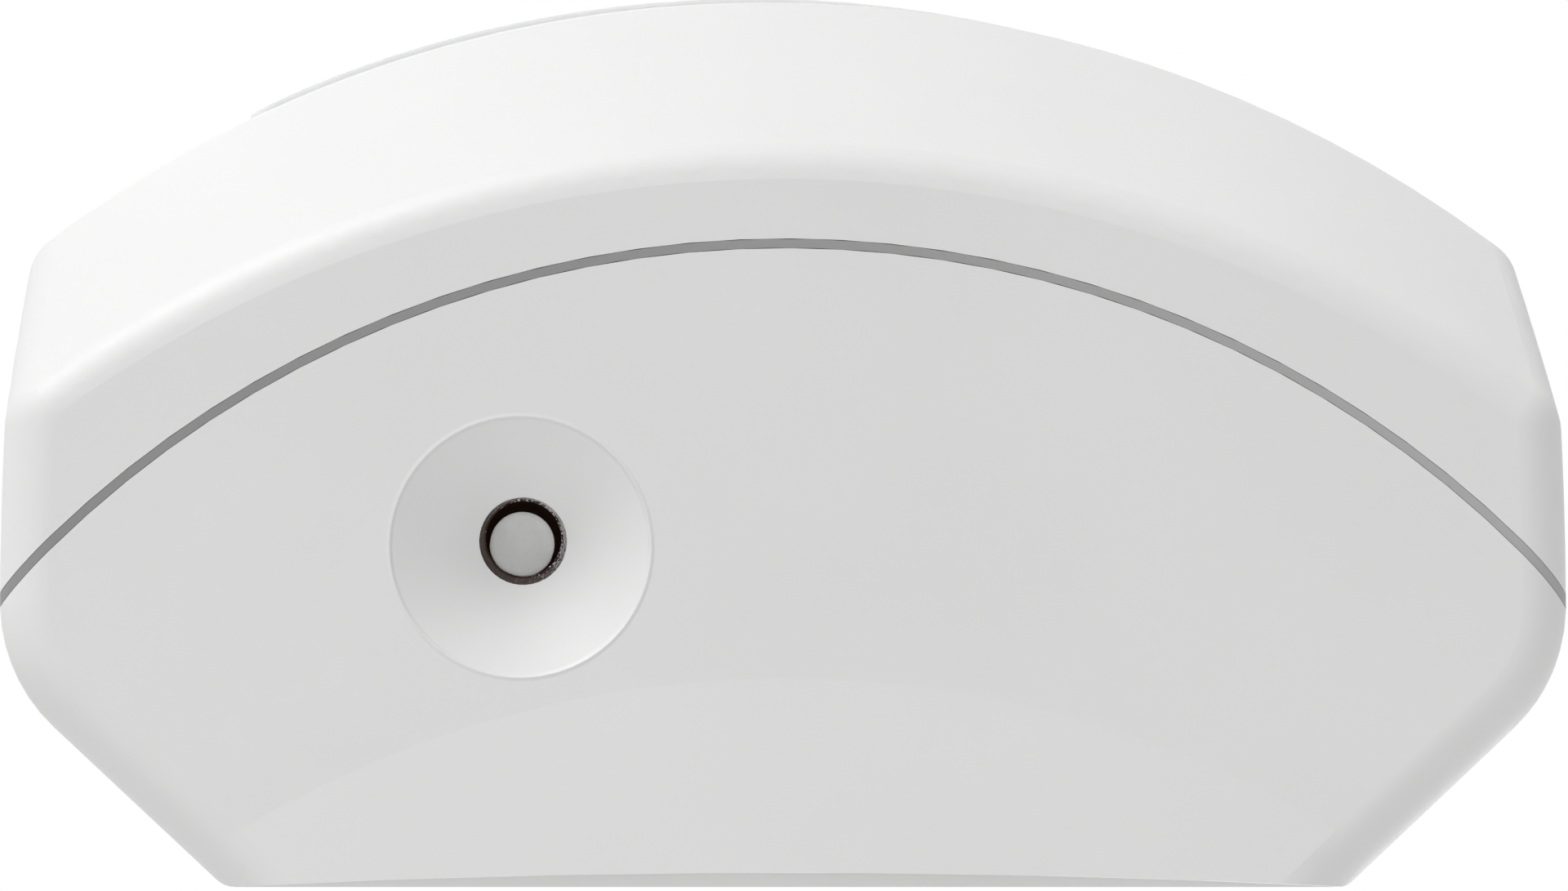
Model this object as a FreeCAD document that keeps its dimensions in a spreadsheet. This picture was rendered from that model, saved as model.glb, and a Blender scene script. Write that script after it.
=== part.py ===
import FreeCAD, Part
import math
import os
import Sketcher

# Wall-mounted motion detector, in millimetres.
# X runs across the detector, Y into the wall and Z up. The origin is the centre of the flat back,
# so a depth in front of the wall is a negative Y. The front, with the lens, faces -Y.

os.makedirs("parts", exist_ok=True)
doc = FreeCAD.newDocument("MotionDetector")
sheet = doc.addObject("Spreadsheet::Sheet", "Sizes")
V = FreeCAD.Vector


class Size:
    """A length with its number and the spreadsheet expression that gives it."""

    def __init__(self, value, text):
        self.value = value
        self.text = text

    def join(self, other, sign, value):
        return Size(value, "(%s %s %s)" % (self.text, sign, sized(other).text))

    def __add__(self, other):
        return self.join(other, "+", self.value + sized(other).value)

    def __sub__(self, other):
        return self.join(other, "-", self.value - sized(other).value)

    def __mul__(self, other):
        return self.join(other, "*", self.value * sized(other).value)

    def __truediv__(self, other):
        return self.join(other, "/", self.value / sized(other).value)

    def __radd__(self, other):
        return sized(other) + self

    def __rsub__(self, other):
        return sized(other) - self

    def __rmul__(self, other):
        return sized(other) * self

    def __rtruediv__(self, other):
        return sized(other) / self

    def __neg__(self):
        return Size(-self.value, "(0 - %s)" % self.text)


def sized(number):
    """A plain number as a Size."""
    return number if isinstance(number, Size) else Size(float(number), repr(float(number)))


def root(number):
    """The square root of a Size."""
    return Size(math.sqrt(number.value), "sqrt(%s)" % number.text)


def arc_radius(half_chord, fall):
    """The radius of an arc that falls by so much over half of its chord."""
    return (half_chord * half_chord + fall * fall) / (2 * fall)


def size(name, value):
    """Writes one driving dimension into the sheet and returns it."""
    row = len(size.names) + 1
    size.names.append(name)
    sheet.set("A%d" % row, name)
    sheet.set("B%d" % row, str(value))
    sheet.setAlias("B%d" % row, name)
    return Size(float(value), "Sizes." + name)


size.names = []

# Overall form
body_width = size("body_width", 64.4)
body_height = size("body_height", 108.0)
front_depth = size("front_depth", 40.8)
wall = size("wall", 2.0)
floor_wall = size("floor_wall", 2.0)
corner_run = size("corner_run", 9.2)
corner_slope = size("corner_slope", 0.9325)
corner_blend = size("corner_blend", 7.0)
side_straight_depth = size("side_straight_depth", 12.2)
side_crown_radius = size("side_crown_radius", 160.0)
front_fall = size("front_fall", 11.28)
front_bulge_radius = size("front_bulge_radius", 290.0)
chin_crease_depth = size("chin_crease_depth", 29.5)
crease_fall = size("crease_fall", 11.17)
chin_run = size("chin_run", 7.9)
chin_rise = size("chin_rise", 10.0)

# Edges of the outer skin
end_edge_round = size("end_edge_round", 2.1)
front_corner_round = size("front_corner_round", 2.4)
back_corner_round = size("back_corner_round", 1.2)
crease_round = size("crease_round", 2.0)
brow_round = size("brow_round", 2.5)

# Flared strip of each end face beside the wall, and the arched relief of the back edge
flare_radius = size("flare_radius", 43.3)
flare_crease_depth = size("flare_crease_depth", 8.5)
flare_rise = size("flare_rise", 0.5)
back_relief = size("back_relief", 0.58)
back_relief_height = size("back_relief_height", 3.6)

# Parting line between the rear housing and the front cover
parting_side_depth = size("parting_side_depth", 11.35)
parting_rise = size("parting_rise", 14.73)
parting_gap = size("parting_gap", 0.4)
lip_height = size("lip_height", 1.5)
lip_wall = size("lip_wall", 1.0)
lip_clearance = size("lip_clearance", 0.12)
seal_slit = size("seal_slit", 0.02)

# Wall screws, corner-mount knock-outs and board pillars
wall_screw_inset = size("wall_screw_inset", 7.0)
wall_screw_hole = size("wall_screw_hole", 4.5)
wall_screw_collar = size("wall_screw_collar", 8.6)
collar_height = size("collar_height", 1.4)
knockout_diameter = size("knockout_diameter", 5.0)
knockout_reach = size("knockout_reach", 4.6)
knockout_skin = size("knockout_skin", 0.8)
knockout_inset = size("knockout_inset", 19.0)
pillar_diameter = size("pillar_diameter", 5.0)
pillar_height = size("pillar_height", 4.5)
pillar_inset_x = size("pillar_inset_x", 3.5)
pillar_inset_z = size("pillar_inset_z", 3.0)
pin_diameter = size("pin_diameter", 2.2)
pilot_hole = size("pilot_hole", 1.7)
pilot_room = size("pilot_room", 0.4)

# Circuit board and what is on it
board_side_room = size("board_side_room", 9.2)
board_end_room = size("board_end_room", 12.5)
board_thick = size("board_thick", 1.6)
board_hole = size("board_hole", 2.6)
board_corner = size("board_corner", 1.5)
screw_head = size("screw_head", 4.4)
screw_head_height = size("screw_head_height", 1.6)
screw_shank = size("screw_shank", 1.6)
screw_length = size("screw_length", 5.0)
slot_width = size("slot_width", 0.6)
slot_foot = size("slot_foot", 0.9)

# Infrared sensor
pyro_z = size("pyro_z", 8.0)
pyro_flange = size("pyro_flange", 9.2)
pyro_flange_thick = size("pyro_flange_thick", 0.5)
pyro_can = size("pyro_can", 8.2)
pyro_height = size("pyro_height", 4.4)
pyro_window_width = size("pyro_window_width", 5.2)
pyro_window_height = size("pyro_window_height", 4.2)
pyro_window_thick = size("pyro_window_thick", 0.6)
pyro_pin = size("pyro_pin", 0.5)
pyro_pin_circle = size("pyro_pin_circle", 5.1)
pyro_pin_length = size("pyro_pin_length", 3.2)
pyro_pin_hole = size("pyro_pin_hole", 0.9)
shroud_wall = size("shroud_wall", 1.8)
shroud_height = size("shroud_height", 3.2)
shroud_clearance = size("shroud_clearance", 0.1)

# Light sensor in the bottom end
sensor_side = size("sensor_side", 21.33)
sensor_depth = size("sensor_depth", 14.15)
recess_diameter = size("recess_diameter", 10.66)
recess_depth = size("recess_depth", 1.9)
recess_shift_x = size("recess_shift_x", 0.14)
recess_shift_y = size("recess_shift_y", 0.33)
recess_boss = size("recess_boss", 12.6)
recess_boss_height = size("recess_boss_height", 4.6)
bezel_diameter = size("bezel_diameter", 3.6)
bezel_bore = size("bezel_bore", 3.06)
bezel_stand = size("bezel_stand", 1.8)
bezel_tip_wall = size("bezel_tip_wall", 0.05)
bezel_slit = size("bezel_slit", 0.01)
guide_diameter = size("guide_diameter", 2.66)
guide_sink = size("guide_sink", 4.0)
guide_slit = size("guide_slit", 0.03)
guide_gap = size("guide_gap", 0.1)
photodiode_width = size("photodiode_width", 5.0)
photodiode_thick = size("photodiode_thick", 2.4)
photodiode_height = size("photodiode_height", 8.4)

# Lens window, lens and its frame
window_side = size("window_side", 9.2)
window_end = size("window_end", 25.0)
window_corner = size("window_corner", 4.0)
lens_stand = size("lens_stand", 0.35)
lens_wall = size("lens_wall", 0.8)
lens_clearance = size("lens_clearance", 0.12)
lens_flange = size("lens_flange", 1.5)
lens_columns = size("lens_columns", 7)
lens_rows = size("lens_rows", 4)
lens_rib = size("lens_rib", 0.5)
lens_relief = size("lens_relief", 0.3)
frame_width = size("frame_width", 5.4)
frame_thick = size("frame_thick", 2.0)
frame_overlap = size("frame_overlap", 1.0)
frame_gap = size("frame_gap", 0.05)
stake_diameter = size("stake_diameter", 1.6)
stake_hole = size("stake_hole", 1.9)
stake_end_inset = size("stake_end_inset", 7.0)
stake_inset = size("stake_inset", 3.2)
stake_stand = size("stake_stand", 1.2)

# Snap arms of the cover
arm_side = size("arm_side", 11.7)
arm_width = size("arm_width", 4.6)
arm_thick = size("arm_thick", 1.3)
arm_tip_depth = size("arm_tip_depth", 14.5)
arm_root_depth = size("arm_root_depth", 25.2)
arm_root_length = size("arm_root_length", 1.3)
arm_clearance = size("arm_clearance", 0.12)
barb_depth = size("barb_depth", 2.0)
barb_reach = size("barb_reach", 0.7)
barb_clearance = size("barb_clearance", 0.2)

# Battery and its cradle
battery_diameter = size("battery_diameter", 16.6)
battery_length = size("battery_length", 33.0)
battery_button = size("battery_button", 6.2)
battery_button_length = size("battery_button_length", 1.3)
battery_rise = size("battery_rise", 15.5)
battery_edge = size("battery_edge", 0.6)
cradle_floor = size("cradle_floor", 1.2)
cradle_wall = size("cradle_wall", 1.3)
cradle_clearance = size("cradle_clearance", 0.2)
cradle_side_height = size("cradle_side_height", 7.6)
cradle_end_height = size("cradle_end_height", 14.0)
contact_thick = size("contact_thick", 0.4)
contact_width = size("contact_width", 8.0)
contact_height = size("contact_height", 12.0)
contact_spring = size("contact_spring", 1.6)
contact_boss = size("contact_boss", 3.6)
bow_margin = size("bow_margin", 1.0)

# Tamper switch and pairing button
tamper_x = size("tamper_x", 7.0)
button_side = size("button_side", 7.0)
switch_inset = size("switch_inset", 4.0)
switch_width = size("switch_width", 6.0)
tamper_body_height = size("tamper_body_height", 4.2)
button_body_height = size("button_body_height", 3.4)
plunger_diameter = size("plunger_diameter", 3.0)
plunger_stand = size("plunger_stand", 2.2)
plunger_sink = size("plunger_sink", 1.8)
plunger_overtravel = size("plunger_overtravel", 0.35)
plunger_clearance = size("plunger_clearance", 0.08)
plunger_end_gap = size("plunger_end_gap", 0.2)
plunger_edge = size("plunger_edge", 0.3)
post_diameter = size("post_diameter", 3.6)
post_gap = size("post_gap", 0.05)
button_diameter = size("button_diameter", 3.4)
button_stand = size("button_stand", 1.2)
button_travel = size("button_travel", 0.3)

# Other parts of the circuit
controller_width = size("controller_width", 7.0)
controller_height = size("controller_height", 1.6)
controller_side = size("controller_side", 14.0)
controller_gap = size("controller_gap", 3.0)
lead_count = size("lead_count", 5)
lead_pitch = size("lead_pitch", 1.27)
lead_width = size("lead_width", 0.5)
lead_reach = size("lead_reach", 1.0)
lead_thick = size("lead_thick", 0.25)
radio_side = size("radio_side", 13.0)
radio_inset = size("radio_inset", 9.0)
radio_width = size("radio_width", 12.0)
radio_height = size("radio_height", 16.0)
radio_board_thick = size("radio_board_thick", 0.8)
shield_margin = size("shield_margin", 1.2)
shield_height = size("shield_height", 2.0)
shield_bend = size("shield_bend", 0.4)
antenna_x = size("antenna_x", 14.0)
antenna_inset = size("antenna_inset", 9.0)
antenna_width = size("antenna_width", 6.0)
antenna_length = size("antenna_length", 11.0)
antenna_stand = size("antenna_stand", 4.0)
antenna_sheet = size("antenna_sheet", 0.5)
antenna_arm = size("antenna_arm", 1.8)
antenna_slit = size("antenna_slit", 1.2)
antenna_leg = size("antenna_leg", 2.0)
led_gap = size("led_gap", 13.6)
led_diameter = size("led_diameter", 3.0)
led_flange = size("led_flange", 3.8)
led_height = size("led_height", 4.4)
led_flange_height = size("led_flange_height", 1.0)
led_top = size("led_top", 0.9)
capacitor_x = size("capacitor_x", 14.5)
capacitor_drop = size("capacitor_drop", 6.0)
capacitor_diameter = size("capacitor_diameter", 6.3)
capacitor_height = size("capacitor_height", 7.2)
capacitor_bend = size("capacitor_bend", 0.5)
crystal_side = size("crystal_side", 14.0)
crystal_gap = size("crystal_gap", 4.2)
crystal_length = size("crystal_length", 8.0)
crystal_width = size("crystal_width", 3.6)
crystal_height = size("crystal_height", 2.4)
chip_x = size("chip_x", 13.5)
chip_gap = size("chip_gap", 4.3)
chip_length = size("chip_length", 2.0)
chip_width = size("chip_width", 1.25)
chip_height = size("chip_height", 0.6)
chip_pitch = size("chip_pitch", 2.8)
chip_count = size("chip_count", 5)

# Places that several pieces share
half_width = body_width / 2
half_height = body_height / 2
back_half = half_width - corner_run
end_face_z = half_height - flare_rise
inner_end_z = end_face_z - wall
front_arc_radius = arc_radius(half_width, front_fall)
chin_crease_radius = arc_radius(half_width, crease_fall)
parting_radius = arc_radius(half_width, parting_rise)
parting_axis_y = parting_radius - parting_side_depth - parting_rise
board_width = body_width - 2 * board_side_room
board_height = body_height - 2 * board_end_room
board_top = board_height / 2
board_back = floor_wall + pillar_height
board_front = board_back + board_thick
pillar_x = board_width / 2 - pillar_inset_x
pillar_z = board_height / 2 - pillar_inset_z
wall_screw_z = half_height - wall_screw_inset
knockout_z = half_height - knockout_inset
sensor_x = sensor_side - half_width
window_width = body_width - 2 * window_side
window_height = body_height - 2 * window_end
stake_x = window_width / 2 + stake_inset
stake_z = window_height / 2 - stake_end_inset
arm_x = half_width - arm_side
battery_z = battery_rise - board_top
button_x = -button_side
switch_z = board_top - switch_inset
radio_x = -radio_side
radio_z = board_top - radio_inset - radio_height / 2
antenna_z = board_top - antenna_inset - antenna_length / 2
led_z = switch_z - led_gap
controller_x = -controller_side
controller_z = radio_z - radio_height / 2 - controller_gap - controller_width / 2
capacitor_z = -capacitor_drop
crystal_x = -crystal_side
crystal_z = controller_z - controller_width / 2 - crystal_gap - crystal_width / 2
chip_top_z = antenna_z - antenna_length / 2 - chip_gap

# Small allowances that only shape or trim a solid
beyond = 4.0
overlap = 1.0
end_slit = 0.02


# Drawing helpers

def bind(thing, prop, value):
    """Ties one property of an object to an expression."""
    thing.setExpression(prop, sized(value).text)


def place(thing, x=0, y=0, z=0, rotation=None):
    """Sets an object's place and ties it to its sizes."""
    spot = [sized(x), sized(y), sized(z)]
    turn = rotation or FreeCAD.Rotation()
    thing.Placement = FreeCAD.Placement(V(spot[0].value, spot[1].value, spot[2].value), turn)
    for axis, value in zip("xyz", spot):
        bind(thing, "Placement.Base." + axis, value)
    return thing


def add(kind, name):
    """A new object of the document."""
    return doc.addObject(kind, name)


def arc_edge(start, end, radius):
    """A counter-clockwise arc from start to end, as a part circle for a sketch."""
    chord = (end - start).Length
    rise = math.sqrt(radius * radius - chord * chord / 4)
    along = (end - start) / chord
    centre = (start + end) / 2 + V(-along.y, along.x, 0) * rise
    first = math.atan2(start.y - centre.y, start.x - centre.x)
    last = math.atan2(end.y - centre.y, end.x - centre.x)
    if last < first:
        last += 2 * math.pi
    return Part.ArcOfCircle(Part.Circle(centre, V(0, 0, 1), radius), first, last)


def draw_outline(sketch, corners):
    """Draws a closed counter-clockwise outline. A corner with a third value starts an arc of that radius."""
    spots = [(sized(c[0]), sized(c[1])) for c in corners]
    ends = [V(x.value, y.value, 0) for x, y in spots]
    count = len(corners)
    for i, corner in enumerate(corners):
        start = ends[i]
        end = ends[(i + 1) % count]
        if len(corner) > 2:
            sketch.addGeometry(arc_edge(start, end, sized(corner[2]).value), False)
        else:
            sketch.addGeometry(Part.LineSegment(start, end), False)
    for i in range(count):
        sketch.addConstraint(Sketcher.Constraint("Coincident", i, 2, (i + 1) % count, 1))
    for i, corner in enumerate(corners):
        for kind, value in zip(("DistanceX", "DistanceY"), spots[i]):
            number = sketch.addConstraint(Sketcher.Constraint(kind, -1, 1, i, 1, value.value))
            label = "%s%d" % (kind[-1].lower() + "_corner_", i)
            sketch.renameConstraint(number, label)
            bind(sketch, "Constraints." + label, value)
        if len(corner) > 2:
            radius = sized(corner[2])
            number = sketch.addConstraint(Sketcher.Constraint("Radius", i, radius.value))
            label = "radius_%d" % i
            sketch.renameConstraint(number, label)
            bind(sketch, "Constraints." + label, radius)
    return sketch


FACING_UP = FreeCAD.Rotation()
FACING_FRONT = FreeCAD.Rotation(V(1, 0, 0), 90)


def outline(name, corners, x=0, y=0, z=0, facing=FACING_UP):
    """A sketch of its own with one closed outline."""
    sketch = add("Sketcher::SketchObject", name)
    place(sketch, x, y, z, facing)
    return draw_outline(sketch, corners)


def extrude(name, sketch, direction, length, both_ways=False):
    """A solid drawn out of a sketch along a direction."""
    solid = add("Part::Extrusion", name)
    solid.Base = sketch
    solid.DirMode = "Custom"
    solid.Solid = True
    solid.Symmetric = both_ways
    solid.Dir = V(*[sized(value).value for value in direction])
    for axis, value in zip("xyz", direction):
        bind(solid, "Dir." + axis, value)
    solid.LengthFwd = sized(length).value
    bind(solid, "LengthFwd", length)
    return solid


def box(name, x, y, z):
    """A box between pairs of limits along X, Y and Z."""
    solid = add("Part::Box", name)
    for prop, limits in (("Length", x), ("Width", y), ("Height", z)):
        bind(solid, prop, sized(limits[1]) - limits[0])
    return place(solid, x[0], y[0], z[0])


def cylinder(name, radius, height, x=0, y=0, z=0, facing=FACING_UP):
    """A cylinder that stands on its place and points up or to the front."""
    solid = add("Part::Cylinder", name)
    bind(solid, "Radius", radius)
    bind(solid, "Height", height)
    return place(solid, x, y, z, facing)


def level_circle(name, radius, x, y, z):
    """A circle that lies level."""
    curve = add("Part::Circle", name)
    bind(curve, "Radius", radius)
    return place(curve, x, y, z)


def cone(name, first, second, height, x=0, y=0, z=0, facing=FACING_UP):
    """A cone that stands on its place."""
    solid = add("Part::Cone", name)
    bind(solid, "Radius1", first)
    bind(solid, "Radius2", second)
    bind(solid, "Height", height)
    return place(solid, x, y, z, facing)


def fuse(name, pieces):
    solid = add("Part::MultiFuse", name)
    solid.Shapes = pieces
    return solid


def common(name, pieces):
    solid = add("Part::MultiCommon", name)
    solid.Shapes = pieces
    return solid


def cut(name, base, tools):
    """Takes one or more solids away from a base."""
    tool = tools[0] if len(tools) == 1 else fuse(name + "_tools", tools)
    solid = add("Part::Cut", name)
    solid.Base = base
    solid.Tool = tool
    return solid


def origin_plane(body, role):
    """One of a body's own origin planes."""
    return [item for item in body.Origin.OriginFeatures if item.Role == role][0]


def turned(name, corners, x=0, y=0, z=0, role="XY_Plane"):
    """A body turned about its sketch's vertical axis: Y for a sketch on XY, Z for one on XZ."""
    body = add("PartDesign::Body", name)
    sketch = body.newObject("Sketcher::SketchObject", name + "_profile")
    sketch.AttachmentSupport = [(origin_plane(body, role), "")]
    sketch.MapMode = "FlatFace"
    draw_outline(sketch, corners)
    spin = body.newObject("PartDesign::Revolution", name + "_turning")
    spin.Profile = sketch
    spin.ReferenceAxis = (sketch, ["V_Axis"])
    spin.Angle = 360
    body.Tip = spin
    return place(body, x, y, z)


def rounded_plate(half_x, half_z, corner):
    """The outline of a rectangle with round corners."""
    return [
        (corner - half_x, -half_z), (half_x - corner, -half_z, corner),
        (half_x, corner - half_z), (half_x, half_z - corner, corner),
        (half_x - corner, half_z), (corner - half_x, half_z, corner),
        (-half_x, half_z - corner), (-half_x, corner - half_z, corner),
    ]


# Master form: the skin of both housings, drawn once and set in for every inner surface

def plan_block(name, inset, floor_inset, end_inset):
    """The plan outline drawn up: flat back, corner-mount faces, blends and barrelled sides."""
    steep = root(1 + corner_slope * corner_slope)
    sine = corner_slope / steep
    cosine = 1 / steep
    blend_x = half_width - corner_blend
    touch_x = blend_x + corner_blend * sine
    blend_depth = corner_slope * (touch_x - back_half) + corner_blend * cosine
    blend = corner_blend - inset
    face_x = touch_x - inset * sine
    face_depth = blend_depth - blend * cosine
    back_x = face_x - (face_depth - floor_inset) / corner_slope
    side_x = half_width - inset
    crown = side_crown_radius - inset
    reach = front_depth + beyond
    lean = reach - side_straight_depth
    reach_x = half_width - side_crown_radius + root(crown * crown - lean * lean)
    right = [
        (reach_x, -reach, crown), (side_x, -side_straight_depth), (side_x, -blend_depth, blend),
        (face_x, -face_depth), (back_x, -sized(floor_inset)),
    ]
    left = [
        (-back_x, -sized(floor_inset)), (-face_x, -face_depth, blend), (-side_x, -blend_depth),
        (-side_x, -side_straight_depth, crown), (-reach_x, -reach),
    ]
    level = half_height - end_inset
    sketch = outline(name + "_plan", right + left, z=-level)
    return extrude(name, sketch, (0, 0, 1), 2 * level)


def front_bulge(name, inset):
    """A solid that ends in the crowned front: the front arc swung about a level axis far behind the wall."""
    reach = half_width + beyond
    radius = front_arc_radius - inset
    edge_depth = front_depth - front_arc_radius + root(radius * radius - reach * reach)
    corners = [(-reach, -edge_depth, radius), (reach, -edge_depth), (reach, beyond), (-reach, beyond)]
    solid = add("Part::Revolution", name)
    solid.Source = outline(name + "_arc", corners)
    solid.Axis = V(1, 0, 0)
    swing_y = front_bulge_radius - front_depth
    solid.Base = V(0, swing_y.value, 0)
    bind(solid, "Base.y", swing_y)
    solid.Angle = 30
    solid.Symmetric = True
    solid.Solid = True
    return solid


def chin_prism(name, inset, end):
    """What lies behind one sloped chin, low (-1) or high (1): the crease arc drawn out along the slope."""
    slant = root(chin_run * chin_run + chin_rise * chin_rise)
    reach = half_width + beyond
    radius = chin_crease_radius - inset
    crease = chin_crease_depth - inset * slant / chin_rise
    edge_depth = crease - radius + root(radius * radius - reach * reach)
    back = body_height * chin_run / chin_rise + beyond
    corners = [(-reach, -edge_depth, radius), (reach, -edge_depth), (reach, back), (-reach, back)]
    sketch = outline(name + "_crease", corners, z=end * half_height)
    return extrude(name, sketch, (0, -chin_run, -end * chin_rise), body_height * slant / chin_rise)


def skin(name, inset, floor_inset, end_inset):
    """The whole detector's form, set in by a wall."""
    pieces = [plan_block(name + "_block", inset, floor_inset, end_inset)]
    pieces.append(front_bulge(name + "_front", inset))
    pieces += [chin_prism(name + "_chin_low", inset, -1), chin_prism(name + "_chin_high", inset, 1)]
    return common(name, pieces)


def end_trim(name, end):
    """What is cut from one end: it leaves the end face and the strip that flares out beside the wall."""
    over = sized(1.0)
    drop = over + flare_rise
    narrow = flare_radius - drop * flare_crease_depth / flare_rise
    reach = half_width + beyond
    slab_z = (-half_height - over, -end_face_z) if end < 0 else (end_face_z, half_height + over)
    slab = box(name + "_slab", (-reach, reach), (-front_depth - beyond, sized(beyond)), slab_z)
    radii = (narrow, flare_radius) if end < 0 else (flare_radius, narrow)
    axis_y = flare_radius - flare_crease_depth
    flare = cone(name + "_flare", radii[0], radii[1], drop, y=axis_y, z=slab_z[0])
    return cut(name, slab, [flare])


def back_arch(name, end):
    """The shallow arched relief in the back edge of one end."""
    radius = arc_radius(back_half, back_relief)
    start = -half_height if end < 0 else half_height - back_relief_height
    return cylinder(name, radius, back_relief_height, y=radius - back_relief, z=start)


def skin_edge_radii(shape):
    """Finds the edges of the master form that are rounded, by where they lie, with their radii."""
    found = []
    for number, edge in enumerate(shape.Edges, 1):
        middle = edge.valueAt((edge.FirstParameter + edge.LastParameter) / 2)
        across = abs(middle.x)
        depth = -middle.y
        height = abs(middle.z)
        upright = height < 1
        at_end = height > end_face_z.value - 0.2
        if upright and depth > side_straight_depth.value + 6:
            found.append((number, front_corner_round.value))
        elif upright and depth < 1 and across > 1:
            found.append((number, back_corner_round.value))
        elif upright:
            continue
        elif at_end and across > back_half.value - 0.5 and depth > 0.2:
            found.append((number, end_edge_round.value))
        elif at_end and across < 1 and depth > flare_crease_depth.value + 6:
            found.append((number, crease_round.value))
        elif not at_end and across > half_width.value - 3 and depth > side_straight_depth.value:
            found.append((number, front_corner_round.value))
        elif not at_end and 1 < across < half_width.value - 8 and depth > chin_crease_depth.value:
            found.append((number, brow_round.value))
    return found


def master_form():
    """The outer skin of the closed detector, with its edges rounded."""
    rough = skin("skin", 0, 0, 0)
    trimmed = cut("skin_trimmed", rough, [end_trim("trim_low", -1), end_trim("trim_high", 1)])
    doc.recompute()
    rounded = add("Part::Fillet", "skin_rounded")
    rounded.Base = trimmed
    rounded.Edges = [(number, radius, radius) for number, radius in skin_edge_radii(trimmed.Shape)]
    return cut("skin_relieved", rounded, [back_arch("arch_low", -1), back_arch("arch_high", 1)])


def parting_drum(name, radius):
    """A drum about the parting line's upright axis: what is inside it belongs to the rear housing."""
    return cylinder(name, radius, body_height + 2 * beyond, y=parting_axis_y, z=-half_height - beyond)


master = master_form()
cavity = skin("cavity", wall, floor_wall, wall + flare_rise)


# Rear housing

def rear_lip():
    """The tongue that stands inside the parting gap, all round the rim."""
    outer_inset = wall - lip_wall
    outside = plan_block("lip_outside", outer_inset, floor_wall, outer_inset + flare_rise)
    inside = plan_block("lip_inside", wall, floor_wall, wall + flare_rise)
    ring = cut("lip_ring", outside, [inside])
    band = common("lip_band", [ring, parting_drum("lip_drum", parting_radius + lip_height)])
    return cut("lip", band, [parting_drum("lip_foot", parting_radius - lip_clearance)])


def rear_additions():
    """Board pillars, screw collars and the boss behind the light sensor's recess."""
    pieces = []
    for name, side, level in pillar_places():
        x = side * pillar_x
        z = level * pillar_z
        spot = (x, -overlap, z, FACING_FRONT)
        pieces.append(cylinder("pillar_" + name, pillar_diameter / 2, board_back - overlap, *spot))
        if side != level:
            length = board_back + board_thick * 0.8 - overlap
            pieces.append(cylinder("pin_" + name, pin_diameter / 2, length, *spot))
    for name, level in (("low", -1), ("high", 1)):
        height = floor_wall + collar_height - overlap
        spot = (0, -overlap, level * wall_screw_z, FACING_FRONT)
        pieces.append(cylinder("collar_" + name, wall_screw_collar / 2, height, *spot))
    height = recess_boss_height + overlap
    foot = -inner_end_z - overlap
    pieces.append(cylinder("recess_boss", recess_boss / 2, height, sensor_x, -sensor_depth, foot))
    return pieces


def pillar_places():
    """Names and sides of the four board pillars; two take screws and two carry pins."""
    return (("a", -1, -1), ("b", 1, -1), ("c", -1, 1), ("d", 1, 1))


def rear_cuts():
    """Screw holes, knock-outs, snap pockets and the light sensor's recess and bore."""
    tools = []
    for name, level in (("low", -1), ("high", 1)):
        length = floor_wall + collar_height + 2 * overlap
        spot = (0, overlap, level * wall_screw_z, FACING_FRONT)
        tools.append(cylinder("wall_hole_" + name, wall_screw_hole / 2, length, *spot))
    for name, side, level in pillar_places():
        if side == level:
            depth = screw_length - board_thick + pilot_room
            spot = (side * pillar_x, depth - board_back, level * pillar_z, FACING_FRONT)
            tools.append(cylinder("pilot_" + name, pilot_hole / 2, depth + overlap, *spot))
    tools += knockouts()
    tools += [snap_pocket(*spot) for spot in snap_places()]
    tools.append(sensor_recess())
    length = wall + recess_boss_height + 2 * overlap
    start = -end_face_z - overlap
    tools.append(cylinder("bezel_bore", bezel_diameter / 2, length, sensor_x, -sensor_depth, start))
    return tools


def sensor_recess():
    """The light sensor's recess: round, and narrowing from its mouth to the bush, which sits off centre."""
    narrow = bezel_diameter / 2
    share = (recess_depth + overlap) / recess_depth
    wide = narrow + (recess_diameter / 2 - narrow) * share
    rounds = []
    for name, radius, part, z in (("mouth", wide, share, -end_face_z - overlap),
                                  ("foot", narrow, 0, recess_depth - end_face_z)):
        x = sensor_x - recess_shift_x * part
        y = recess_shift_y * part - sensor_depth
        rounds.append(level_circle("recess_" + name, radius, x, y, z))
    solid = add("Part::Loft", "recess")
    solid.Sections = rounds
    solid.Solid = True
    solid.Ruled = True
    return solid


def knockouts():
    """Blind rounds behind the corner-mount faces, which leave a thin skin to break out."""
    angle = math.degrees(math.atan(corner_slope.value))
    steep = root(1 + corner_slope * corner_slope)
    middle_x = back_half + knockout_reach / steep
    middle_depth = (middle_x - back_half) * corner_slope
    tools = []
    for side in (-1, 1):
        for level in (-1, 1):
            solid = add("Part::Cylinder", "knockout")
            bind(solid, "Radius", knockout_diameter / 2)
            bind(solid, "Height", wall + overlap)
            inward = V(0, -1, 0)
            turn = FreeCAD.Rotation(V(0, 0, 1), inward)
            tilt = FreeCAD.Rotation(V(0, 0, 1), -side * angle)
            x = side * (middle_x - knockout_skin * corner_slope / steep)
            y = -(middle_depth + knockout_skin / steep)
            place(solid, x, y, level * knockout_z, tilt.multiply(turn))
            tools.append(solid)
    return tools


def snap_places():
    """Names, sides and ends of the four snap arms."""
    return (("a", -1, -1), ("b", 1, -1), ("c", -1, 1), ("d", 1, 1))


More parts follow.
